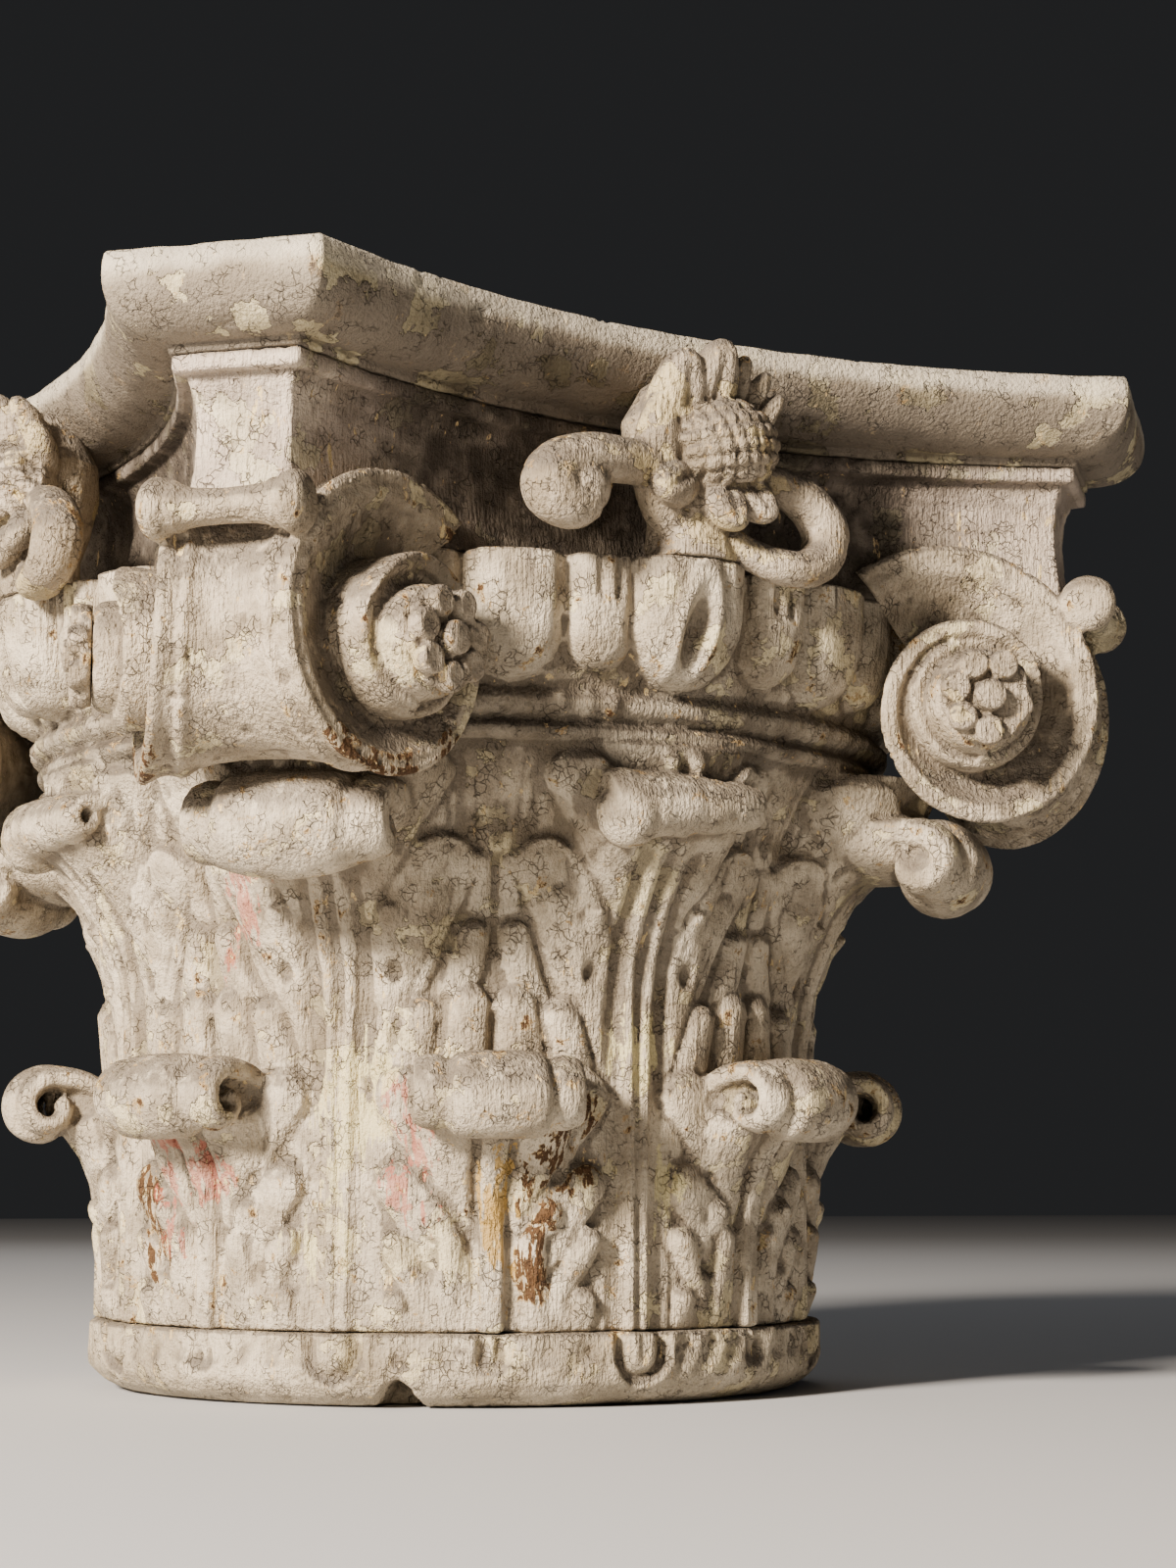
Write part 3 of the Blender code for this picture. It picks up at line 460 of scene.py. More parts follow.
def curl(name, angle, start, centre, radius, half_width, thickness=9.0, crease=0.0, lean=0.0):
    """A leaf's tip: a thick plate that leaves the drum, arches out and rolls up under itself.

    start and centre are (out, up). A crease parts a middle tongue from an ear at each side. The plate is
    thinner towards its sides, so that the ends of the roll show as open spirals.
    """
    steps, wide, end = 48, 41, 315.0
    share = np.linspace(-1.0, 1.0, wide)
    away = np.abs(share)
    if crease:
        outer = np.clip((away - crease) / 0.06, 0.0, 1.0)
        valley = np.exp(-((away - crease - 0.03) / 0.05) ** 2)
        tongue = 1.6 * np.clip(1.0 - (away / crease) ** 4, 0.0, 1.0)
        ear_half = 0.5 * (1.0 - crease)
        ear = 1.5 * np.clip(1.0 - ((away - crease - ear_half) / ear_half) ** 2, 0.0, 1.0)
        bulge = tongue * (1.0 - outer) + ear * outer - 2.6 * valley
    else:
        outer = np.zeros(wide)
        bulge = 0.3 * np.cos(share * half_width * 0.9) + 0.3 * np.cos(share * half_width * 0.5 + 1.0)
    size = (1.0 - 0.12 * outer) * (1.0 - lean * (share + 1.0) / 2.0) * (1.0 - 0.12 * away ** 8)
    plate = thickness * (1.0 - 0.45 * away ** 4) * (1.0 - 0.25 * lean * (share + 1.0))
    layers = []
    for layer in (1.0, -1.0):
        rows = []
        for step in range(steps):
            s = step / (steps - 1)
            ahead = min(1.0, s / 0.2)
            top = centre[1] + radius - plate / 2
            if s < 0.2:
                out = (1 - ahead ** 2) * start[0] + ahead ** 2 * centre[0] - 3.0 * outer * ahead
                up = (1 - ahead) ** 2 * start[1] + (1.0 - (1 - ahead) ** 2) * top
                up = up - (1.0 - size) * radius * 0.5 * ahead
                facing = np.full(wide, radians(-90.0 * ahead))
            else:
                k = (s - 0.2) / 0.8
                turn = radians(90.0 - end * k)
                ring = (radius * size - plate / 2) * (1.0 - 0.66 * k)
                out = centre[0] + ring * cos(turn) - 3.0 * outer
                up = centre[1] + ring * sin(turn) + (1.0 - size) * radius * 0.5
                facing = np.full(wide, turn - pi)
            width = np.interp(s, (0.0, 0.2, 0.6, 1.0), (0.88, 0.98, 1.0, 0.9)) * half_width
            thick = plate / 2 * (1.0 - 0.4 * max(0.0, s - 0.2))
            side = thick * layer - (bulge * ahead * (1.0 - 0.5 * s) if layer < 0 else 0.0)
            out = out + side * np.cos(facing)
            up = up + side * np.sin(facing)
            bend = share * width / out + radians(angle)
            rows.append(np.stack([out * np.cos(bend), out * np.sin(bend), up], 1))
        layers.append(np.concatenate(rows))
    faces = grid_faces(steps, wide)
    count = steps * wide
    faces += [[count + i for i in face[::-1]] for face in grid_faces(steps, wide)]
    for row in range(steps - 1):
        for column in (0, wide - 1):
            a, b = row * wide + column, (row + 1) * wide + column
            face = [a, b, count + b, count + a]
            faces.append(face if column == 0 else face[::-1])
    for column in range(wide - 1):
        for row in (0, steps - 1):
            a, b = row * wide + column, row * wide + column + 1
            face = [a, count + a, count + b, b]
            faces.append(face if row == 0 else face[::-1])
    return make(name, np.concatenate(layers), faces)


def bracket(name, angle, section, half_width, anchor, square=5):
    """The solid leaf under a curl: a section of (out, up) points, rounded off to its sides."""
    points = []
    wide = 25
    section = np.array(section, float)
    for column in range(wide):
        share = -1.0 + 2.0 * column / (wide - 1)
        shrink = max(0.02, 1.0 - abs(share) ** square)
        for out, up in np.array(anchor) + (section - anchor) * shrink:
            side = share * half_width * (0.5 + 0.5 * out / section[:, 0].max())
            bend = side / out + radians(angle)
            points.append((out * cos(bend), out * sin(bend), up))
    return make(name, points, tube_faces(wide, len(section)))


def filling(name, angle, place, size, shift=0.0):
    """A round lump inside a curl that closes its ends. place is (out, up); size is across, out and up."""
    item = ball(name, (shift, *place), size)
    item.data.transform(Matrix.Rotation(radians(angle - 90.0), 4, "Z"))
    return item


LOW_BRACKET = ((140, 86), (150, 92), (158, 99), (166, 106), (171, 116), (165, 125), (152, 121), (140, 112))
FACE_BRACKET = (
    (142, 184), (158, 190), (168, 200), (179, 208), (186, 218), (182, 229), (168, 234), (142, 232),
)
CORNER_BRACKET = (
    (142, 180), (158, 184), (168, 197), (181, 209), (196, 208), (205, 216), (197, 225), (186, 235),
    (172, 242), (142, 242),
)


def bell():
    """The carved body: drum, curled leaf tips and egg course in one skin."""
    shells = [drum()]
    for index in range(LEAVES):
        angle = -90.0 + LEAF_STEP * index
        between = angle + LEAF_STEP / 2
        low, face, corner = f"low{index}", f"face{index}", f"corner{index}"
        shells.append(curl(low, between, (146, 106), (171.0, 110), 17.5, 31.5, 9.5, crease=0.56))
        shells.append(bracket(low + "_root", between, LOW_BRACKET, 28.0, (146.0, 112.0)))
        if index % 2 == 0:
            shells.append(curl(face, angle, (156, 214), (180.0, 216.0), 16.4, 34, 10.5, lean=0.38))
            shells.append(bracket(face + "_root", angle, FACE_BRACKET, 31.0, (150.0, 228.0)))
            shells.append(filling(face + "_knob", angle, (179.0, 216.0), (12.0, 13.5, 13.5), 23.5))
        else:
            shells.append(curl(corner, angle, (160, 226), (205.0, 205.0), 19.8, 39, 14.0, crease=0.62))
            shells.append(bracket(corner + "_root", angle, CORNER_BRACKET, 39.0, (150.0, 236.0), 10))
            shells.append(filling(corner + "_roll", angle, (204.0, 204.5), (38.0, 17.0, 17.0)))
            shells.append(filling(corner + "_web", angle, (178.0, 216.0), (37.0, 32.0, 15.0)))
    return weathered(fused(joined("bell_carved", shells), 1.42, 198000), 0.22, 0.45, seed=1.0)


# Volutes


def disc_point(turn, radius, proud, hand):
    """A point of a scroll's side; turn counts whole turns from the top."""
    slope = radians(DISC_TURN)
    around = 2.0 * pi * turn
    out = EYE_OUT + SPIRAL_WIDTH * cos(slope) * radius * sin(around)
    side = EYE_SIDE - tan(slope) * (out - EYE_OUT)
    return (
        out + proud * sin(slope),
        hand * (side + proud * cos(slope)),
        EYE_LEVEL + radius * cos(around),
    )


def spiral_radius(turn):
    """Radius of the outer edge of the whorl."""
    return SPIRAL_RADIUS * SPIRAL_SHRINK ** turn


def spiral_proud(turn):
    """How far that edge stands out of the disc, more towards the eye."""
    return SPIRAL_RISE * turn - SPIRAL_SINK


# Across one whorl, from its outer edge to the next whorl: share of the width and how proud it stands.
WHORL = (
    (0.0, -1.6), (0.02, -0.5), (0.05, 0.3), (0.09, 0.9), (0.13, 0.6), (0.16, -0.1), (0.20, 0.3), (0.26, 0.6),
    (0.32, 0.5), (0.36, -0.3), (0.39, -1.6), (0.44, -2.6), (0.55, -4.2), (0.65, -5.8), (0.75, -7.2),
    (0.85, -8.4), (0.93, -9.2), (1.0, -9.4),
)


def volute():
    """A corner scroll on the +X axis, with two spiral sides, a hollow band and a turned spool."""
    steps = 72
    lead = round(SPIRAL_LEAD * steps)
    turns = [index / steps for index in range(-lead, round(SPIRAL_TURNS * steps) + 1)]
    columns = len(WHORL)
    points = []
    faces = []
    starts = []
    for hand in (1, -1):
        base = len(points)
        starts.append(base)
        for turn in turns:
            outer, inner = spiral_radius(turn), spiral_radius(turn + 1.0)
            for share, height in WHORL:
                depth = height * (0.55 + 0.45 * (outer - inner) / 32.5) if height < -1.7 else height
                fading = min(1.0, max(0.0, (turn - 1.02 - 0.3 * (0.4 - share)) / 0.12))
                depth += (-7.5 - depth) * fading if share < 0.5 else 0.0
                radius = outer + (inner - outer) * share
                points.append(disc_point(turn, radius, spiral_proud(turn) + depth, hand))
        rows = len(turns)
        faces += [[base + i for i in face] for face in grid_faces(rows, columns)]
        for index in range(rows - 1 - steps):
            floor = base + columns * index + columns - 1
            rim = base + columns * (index + steps)
            faces.append([floor, rim, rim + columns, floor + columns])
        floors = [base + columns * index + columns - 1 for index in range(rows - 1 - steps, rows)]
        points.append(disc_point(0.0, 0.0, spiral_proud(turns[-1]) - 7.0, hand))
        centre = len(points) - 1
        for near, far in zip(floors, floors[1:]):
            faces.append([centre, near, far])
        last = base + columns * (rows - 1)
        faces.append([centre, *[last + k for k in range(columns - 1, -1, -1)], floors[0]])
    # The hollow band between the two outer rims, with a raised fillet beside each.
    cross = (
        (1.0, 0.0), (0.93, 1.5), (0.86, 3.0), (0.78, 3.6), (0.70, 2.2), (0.64, 2.6), (0.56, 5.0),
        (0.40, 6.6), (0.2, 7.6), (0.0, 8.0),
    )
    cross += tuple((-share, depth) for share, depth in cross[-2::-1])
    bands = []
    for index in range(steps + 1):
        rim = np.array(points[starts[0] + columns * index])
        inward = np.array((EYE_OUT - rim[0], 0.0, EYE_LEVEL - rim[2]))
        inward /= np.linalg.norm(inward)
        band = [starts[0] + columns * index]
        for share, depth in cross[1:-1]:
            points.append(tuple(np.array((rim[0], rim[1] * share, rim[2])) + inward * depth))
            band.append(len(points) - 1)
        band.append(starts[1] + columns * index)
        bands.append(band)
    for near, far in zip(bands, bands[1:]):
        for k in range(len(near) - 1):
            faces.append([near[k], near[k + 1], far[k + 1], far[k]])
    left, right = starts
    end = columns - 1
    faces.append([left + columns * steps, *bands[-1][1:-1], right + columns * steps, right + end, left + end])
    faces.append([*bands[0], *[right + k for k in range(1, columns)], *[left + k for k in range(end, 0, -1)]])
    shells = [make("scroll", points, faces), spool()]
    for hand in (1, -1):
        shells.append(eye_boss(hand))
    return fused(joined("volute_shape", shells), 1.15, 64000)


def disc_frame(hand):
    """Centre, across, up and outward directions of a scroll's side."""
    slope = radians(DISC_TURN)
    centre = np.array(disc_point(0.0, 0.0, 0.0, hand))
    across = np.array((cos(slope), -hand * sin(slope), 0.0))
    outward = np.array((sin(slope), hand * cos(slope), 0.0))
    return centre, across, np.array((0.0, 0.0, 1.0)), outward


def turned(name, middle, over, beside, axis, rows, count=20, wobble=None):
    """Circles of (radius, height) rows round an axis, from the over direction towards beside."""
    points = []
    for radius, height in rows:
        for index in range(count):
            around = 2.0 * pi * index / count
            reach = radius * (wobble(around) if wobble else 1.0)
            points.append(middle + axis * height + reach * (over * cos(around) + beside * sin(around)))
    return make(name, points, tube_faces(len(rows), count))


def round_stack(name, hand, rows, count=40, wobble=None):
    """A turned stack on a scroll's eye. Rows are radius and height over the disc."""
    centre, across, up, outward = disc_frame(hand)
    return turned(name, centre, up, across, outward, rows, count, wobble)


def eye_boss(hand):
    """The drum in the eye of a scroll, ringed by a small groove, under its rosette."""
    rows = (
        (26.0, -10.0), (26.0, 0.5), (25.4, 2.6), (24.0, 3.2), (22.6, 2.6), (21.6, 1.4), (20.4, 1.6),
        (20.0, 9.0), (19.2, 11.8), (17.0, 13.5),
    )
    return round_stack(f"boss{hand}", hand, rows)


def spool():
    """The turned roll with knobbed ends across the top of a scroll."""
    turn = 0.115
    seat = disc_point(turn, spiral_radius(turn), spiral_proud(turn), 1)
    centre = np.array((seat[0] + 10.3, 0.0, seat[2] - 2.3))
    rows = (
        (3, -31), (7, -30.5), (9.5, -29), (11.3, -26), (11, -23), (9, -20.5), (8.4, -19), (9, -17.5),
        (7.6, -15.5), (6.6, -10), (6.2, 0),
    )
    rows += tuple((radius, -y) for radius, y in rows[-2::-1])
    ahead, side, up = np.eye(3)
    return turned("spool", centre, ahead, up, side, rows, 24)


def rosette(name, hand, broken=()):
    """A flower of seven round petals and a button, on a scroll's eye."""
    shells = []
    centre, across, up, outward = disc_frame(hand)
    seat = 13.9
    disc = ((18.5, seat), (19.0, seat + 2.0), (18.0, seat + 3.6), (8.0, seat + 4.2))
    shells.append(round_stack("disc", hand, disc, 42, lambda t: 0.94 + 0.06 * cos(7.0 * t)))
    for petal in range(7):
        if petal in broken:
            continue
        around = 2.0 * pi * (petal + 0.5) / 7
        middle = centre + across * 13.4 * sin(around) + up * 13.4 * cos(around)
        drop = 0.5 * sin(2.3 * petal + hand)
        rows = ((4.8, 1.0), (5.7, 3.0), (5.8, 6.0), (5.3, 7.4))
        rows += ((4.2, 7.9 + drop), (2.2, 7.6 + drop), (0.8, 7.4 + drop))
        shells.append(turned(f"petal{petal}", middle + outward * seat, across, up, outward, rows))
    rows = ((5.6, 2.0), (6.2, 6.0), (6.1, 9.2), (5.4, 10.1), (3.0, 10.4), (0.8, 10.4))
    shells.append(turned("button", centre + outward * seat, across, up, outward, rows))
    return fused(joined(name, shells), 0.75, 12000)


# Flower sprays


def rounded(route, radii, steps=6):
    """A smooth curve through the points of a route, with the radii carried along."""
    rows = np.column_stack([np.array(route, float), np.array(radii, float)])
    rows = np.vstack([2 * rows[0] - rows[1], rows, 2 * rows[-1] - rows[-2]])
    found = []
    for a, b, c, d in zip(rows, rows[1:], rows[2:], rows[3:]):
        for k in np.arange(steps) / steps:
            place = 2 * b + (c - a) * k
            place += (2 * a - 5 * b + 4 * c - d) * k ** 2 + (3 * b - a - 3 * c + d) * k ** 3
            found.append(place / 2)
    found.append(rows[-2])
    found = np.array(found)
    return found[:, :3], found[:, 3]


def bar(name, route, radii, count=16, squash=1.0):
    """A round bar along points that lie in a plane facing -Y."""
    route, radii = rounded(route, radii)
    ahead = np.gradient(route, axis=0)
    ahead /= np.linalg.norm(ahead, axis=1)[:, None]
    depth = np.array((0.0, 1.0, 0.0))
    points = []
    for place, direction, radius in zip(route, ahead, radii):
        over = np.cross(direction, depth)
        over /= np.linalg.norm(over)
        for index in range(count):
            around = 2.0 * pi * index / count
            points.append(place + over * cos(around) * radius + depth * sin(around) * radius * squash)
    return make(name, points, tube_faces(len(route), count))


def ball(name, centre, size, relief=None, rings=22, count=32):
    """An egg-shaped lump with its poles along Y, and with relief as a function of x and z."""
    points = []
    for row in range(rings + 1):
        polar = pi * (row + 0.02) / (rings + 0.04)
        for index in range(count):
            around = 2.0 * pi * index / count
            x, z, y = sin(polar) * cos(around), sin(polar) * sin(around), -cos(polar)
            grow = 1.0 + (relief(x * size[0], z * size[2]) if relief and y < 0.2 else 0.0)
            points.append((
                centre[0] + x * size[0] * grow, centre[1] + y * size[1] * grow, centre[2] + z * size[2] * grow
            ))
    return make(name, points, tube_faces(rings + 1, count))


def seeds(x, z):
    """Crossed grooves about 4 mm apart."""
    u, v = (x + 0.35 * z) / 5.8, (z - 0.2 * x) / 5.8
    return -0.13 * max(np.exp(-(sin(pi * u) / 0.34) ** 2), np.exp(-(sin(pi * v) / 0.34) ** 2))


def petal(name, root, tip, width, depth, cup=0.25):
    """A leaf-like lump from root to tip, facing -Y, with a groove down its middle. Points are (x, y, z)."""
    root, tip = np.array(root, float), np.array(tip, float)
    ahead = tip - root
    length = np.linalg.norm(ahead)
    ahead /= length
    over = np.cross(ahead, (0.0, 1.0, 0.0))
    over /= np.linalg.norm(over)
    front = np.cross(over, ahead)
    if front[1] > 0.0:
        front, over = -front, -over
    points = []
    rows, count = 18, 24
    for row in range(rows + 1):
        k = 0.01 + 0.98 * row / rows
        girth = (sin(pi * k ** 0.8)) ** 0.42
        for index in range(count):
            around = 2.0 * pi * index / count
            x, y = cos(around), sin(around)
            groove = cup * np.exp(-(x / 0.22) ** 2) * (y > 0.0) * girth
            lift = depth * 0.55 * k ** 2
            points.append(root + ahead * length * k + over * x * width * girth
                          + front * ((y - groove) * depth * girth + lift))
    return make(name, points, tube_faces(rows + 1, count))


def fleuron():
    """The spray on the front: stem, side scrolls, petals, seed head and the leaves over it."""
    shells = []
    stem = ((-3, 309.4, 18.0, 176, 203), (-3, 315, 16.5, 172, 203), (-3, 324, 15.0, 172, 202))
    stem += ((-3, 335, 17.0, 168, 203), (-4, 350, 22.0, 165, 203), (-4, 362, 24.0, 166, 203))
    stem += ((-3, 374, 19.0, 172, 203), (0, 382, 11.0, 180, 201))
    points = []
    for x, z, half, back, front in stem:
        for index in range(20):
            around = 2.0 * pi * index / 20
            y = -(back + front) / 2 - (front - back) / 2 * sin(around)
            points.append((x + half * np.sign(cos(around)) * abs(cos(around)) ** 0.8, y, z))
    shells.append(make("stem", points, tube_faces(len(stem), 20)))

    # Left arm: a thick drooping leaf that ends in a knob. Right arm: a leaf bent round to the stem.
    left = (
        (-6, -190, 341), (-20, -194, 342), (-36, -197, 342), (-51, -198, 341), (-62, -198, 337),
        (-68, -199, 331), (-67, -200, 325), (-60, -201, 322), (-53, -202, 324),
    )
    shells.append(bar("left_arm", left, (9, 8.5, 8.5, 9.5, 10.5, 11, 10.5, 9, 7), squash=1.1))
    shells.append(ball("left_knob", (-58, -200, 329), (13, 10, 12), rings=14, count=24))
    right = (
        (6, -188, 341), (20, -194, 342), (33, -197, 340), (44, -198, 334), (50, -199, 325),
        (48, -200, 315), (40, -201, 309), (29, -200, 309), (18, -197, 313), (8, -194, 318),
    )
    shells.append(bar("right_arm", right, (6, 6.5, 7.2, 8, 8.6, 8.2, 7.4, 6.6, 6, 6), squash=1.2))

    # Petals under the seed head, shoulders beside it and broken leaves over it.
    petals = (
        ((-8, -196, 341), (-28, -203, 329), 9.5, 7.5), ((3, -197, 339), (4, -206, 317), 9.5, 7.5),
        ((11, -196, 342), (22, -204, 323), 8.5, 7.5), ((-9, -191, 318), (-22, -198, 372), 17.0, 10.0),
        ((-14, -194, 348), (-17, -203, 386), 13.0, 9.5), ((-5, -196, 356), (0, -204, 391), 11.0, 9.0),
        ((8, -192, 362), (12, -201, 388), 5.5, 7.0), ((13, -192, 358), (22, -201, 383), 4.8, 6.5),
        ((16, -192, 354), (29, -200, 375), 4.8, 6.5),
    )
    for index, (root, tip, width, depth) in enumerate(petals):
        shells.append(petal(f"petal{index}", root, tip, width, depth))
    shells.append(ball("head", (4.0, -201.5, 352.0), (22.5, 16.3, 18.0), seeds, 48, 80))
    return fused(joined("fleuron_shape", shells), 0.85, 40000)


# Top board, neck and base course


def plan_point(inset, share):
    """A point of the front hollow side, from horn (-1) to horn (1)."""
    radius = SIDE_HOLLOW_RADIUS + inset
    centre = -(SIDE_REACH + SIDE_HOLLOW_RADIUS)
    total = (HORN_REACH - inset) * sqrt(2.0)
    half = total + centre
    x = (half + sqrt(max(0.0, 2.0 * radius * radius - half * half))) / 2.0
    angle = atan2(x, x - total - centre) * share
    return radius * sin(angle), centre + radius * cos(angle)


def plan_block(name, rows, arc=200, cut=20):
    """A moulded block on the hollow-sided plan. Rows are inset, level and extra hollow mid-side."""
    points = []
    arc, cut = ((arc, cut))
    for inset, level, waist in rows:
        ring = []
        for index in range(arc + 1):
            share = -1.0 + 2.0 * index / arc
            ring.append(plan_point(inset + waist * (1.0 - share * share), share))
        first, last = np.array(ring[0]), np.array(ring[-1])
        # The cut-off horn from this side's end to the next side's start.
        following = np.array((-first[1], first[0]))
        ring += [tuple(last + (following - last) * k / cut) for k in range(1, cut)]
        for quarter in range(4):
            c, s = cos(quarter * pi / 2), sin(quarter * pi / 2)
            points += [(x * c - y * s, x * s + y * c, level) for x, y in ring]
    return make(name, points, tube_faces(len(rows), 4 * (arc + cut)))


def denser(rows, gap):
    """Puts rows between others that lie further apart than a gap."""
    found = [rows[0]]
    for row in rows[1:]:
        last = found[-1]
        count = max(1, round(sqrt((row[0] - last[0]) ** 2 + (row[1] - last[1]) ** 2) / gap))
        for k in range(1, count + 1):
            found.append(tuple(a + (b - a) * k / count for a, b in zip(last, row)))
    return found


def crown():
    """The top board: fillet, bulging quarter round and upright band."""
    foot, band = CROWN_FOOT + 3.0, CROWN_TOP - 9.0
    rows = [(26.0, CROWN_FOOT, 6.0), (22.8, CROWN_FOOT + 0.1, 6.0), (22.4, CROWN_FOOT + 1.4, 6.0)]
    rows += [(22.6, foot - 0.2, 6.0), (21.0, foot, 5.6)]
    for step in range(13):
        angle = pi / 2 * step / 12
        rows.append((20.5 * (1.0 - sin(angle)), foot + (band - foot) * (1.0 - cos(angle)), 4.0 * cos(angle)))
    rows += [(0.1, CROWN_TOP - 7.0, 0.0), (0.3, CROWN_TOP - 4.0, 0.0), (1.0, CROWN_TOP - 1.2, 0.0)]
    rows += [(1.8, CROWN_TOP - 0.2, 0.0), (4.0, CROWN_TOP - 0.05, 0.0)]
    item = plan_block("crown_shape", denser(rows, 2.0))
    return weathered(item, 0.5, 0.8, seed=3.0)


def neck():
    """The neck: a flat band, then a hollow down to the body."""
    top = NECK_TOP - 5.5
    outline = (
        (29.2, NECK_FOOT), (30.2, NECK_FOOT + 6), (32.2, NECK_FOOT + 20), (32.8, NECK_FOOT + 31),
        (31.8, top - 9), (29.6, top - 3.4), (28.8, top - 1.2), (24.2, top - 0.4), (23.6, top + 0.4),
        (23.5, NECK_TOP - 1), (24.2, NECK_TOP - 0.1),
    )
    rows = [(inset, level, 6.0) for inset, level in outline]
    item = plan_block("neck_shape", denser(rows, 2.0))
    return weathered(item, 0.4, 0.6, seed=4.0)


def base_course():
    """The lowest course: flutes run on from the leaf feet, with hollows between them and a broken notch."""
    columns, rows = 900 // 1, 26
    theta = np.arange(columns) * 360.0 / columns - 180.0
    levels = np.linspace(0.0, BASE_TOP, rows)
    angle, z = np.meshgrid(theta, levels)
    heights = (0.0, 1.0, 4.0, 9.0, 14.0, 17.0, BASE_TOP)
    profile = np.interp(z, heights, (134.5, 138, 144, 148.6, 150, 149.6, 149.6))
    a = ((angle + 90.0 + LEAF_STEP / 2) % LEAF_STEP - LEAF_STEP / 2) * SCALE
    # Shallow flutes, a U-shaped groove below each upper leaf and a small arch below each lower one.
    wander = 0.6 * (BASE_TOP - z) + 3.0 * np.sin(np.radians(angle * 5.0))
    flute = 0.75 * np.cos(2 * pi * (a + wander) / 14.0) - 0.75
    flute *= np.clip((z - 8.0) / 8.0, 0.0, 1.0)
    between = np.abs(a)
    bend = np.hypot(between, np.clip(19.5 - z, 0.0, None))
    groove = 4.4 * np.exp(-((bend - 9.0) / 2.3) ** 2) - 0.9 * np.exp(-((bend - 13.0) / 1.8) ** 2)
    rib = 1.6 * np.exp(-((between - 3.2) / 1.8) ** 2) * np.clip((z - 14.0) / 4.0, 0.0, 1.0)
    under = LEAF_STEP / 2 * SCALE - between
    arch = np.clip((6.5 - under) / 3.0, 0.0, 1.0) * np.clip((z - 12.0) / 4.0, 0.0, 1.0)
    arch *= np.clip(under / 2.5 + (24.0 - z) / 14.0, 0.0, 1.0)
    boss = 0.9 * np.exp(-(under / 7.0) ** 2 - ((z - 8.0) / 4.5) ** 2)
    radius = profile + np.where(between > 15.0, flute, 0.0) - groove + rib - 3.0 * arch + boss
    # The broken notch over the ground.
    away = np.abs((angle + 126.0 + 180.0) % 360.0 - 180.0) * SCALE
    radius = np.where(z < 10.5 * (1.0 - (away / 9.5) ** 1.6), np.minimum(radius, 121.0), radius)
    turn = np.radians(angle)
    points = np.stack([radius * np.cos(turn), radius * np.sin(turn), z], -1).reshape(-1, 3)
    item = make("base_shape", points, tube_faces(rows, columns))
    return weathered(fused(item, 1.3, 80000), 0.4, 0.8, seed=5.0)


# Paint


NOISE, RANGE, MATH = "ShaderNodeTexNoise", "ShaderNodeMapRange", "ShaderNodeMath"
VECTOR, MIX = "ShaderNodeVectorMath", "ShaderNodeMix"
SMOOTH = {"interpolation_type": "SMOOTHSTEP"}
TIMES = {"operation": "MULTIPLY"}
PLUS = {"operation": "ADD"}


def colour(code):
    """Linear colour from an sRGB hex code."""
    parts = [int(code[i:i + 2], 16) / 255.0 for i in (0, 2, 4)]
    linear = [p / 12.92 if p <= 0.04045 else ((p + 0.055) / 1.055) ** 2.4 for p in parts]
    return (*linear, 1.0)


def add(tree, kind, output, inputs=(), **settings):
    """Adds a node and gives one of its outputs. Inputs are values or links, by name or in their order."""
    node = tree.nodes.new(kind)
    for key, value in settings.items():
        setattr(node, key, value)
    for key, value in inputs.items() if isinstance(inputs, dict) else enumerate(inputs):
        if isinstance(value, bpy.types.NodeSocket):
            tree.links.new(value, node.inputs[key])
        else:
            node.inputs[key].default_value = value
    return node.outputs[output]


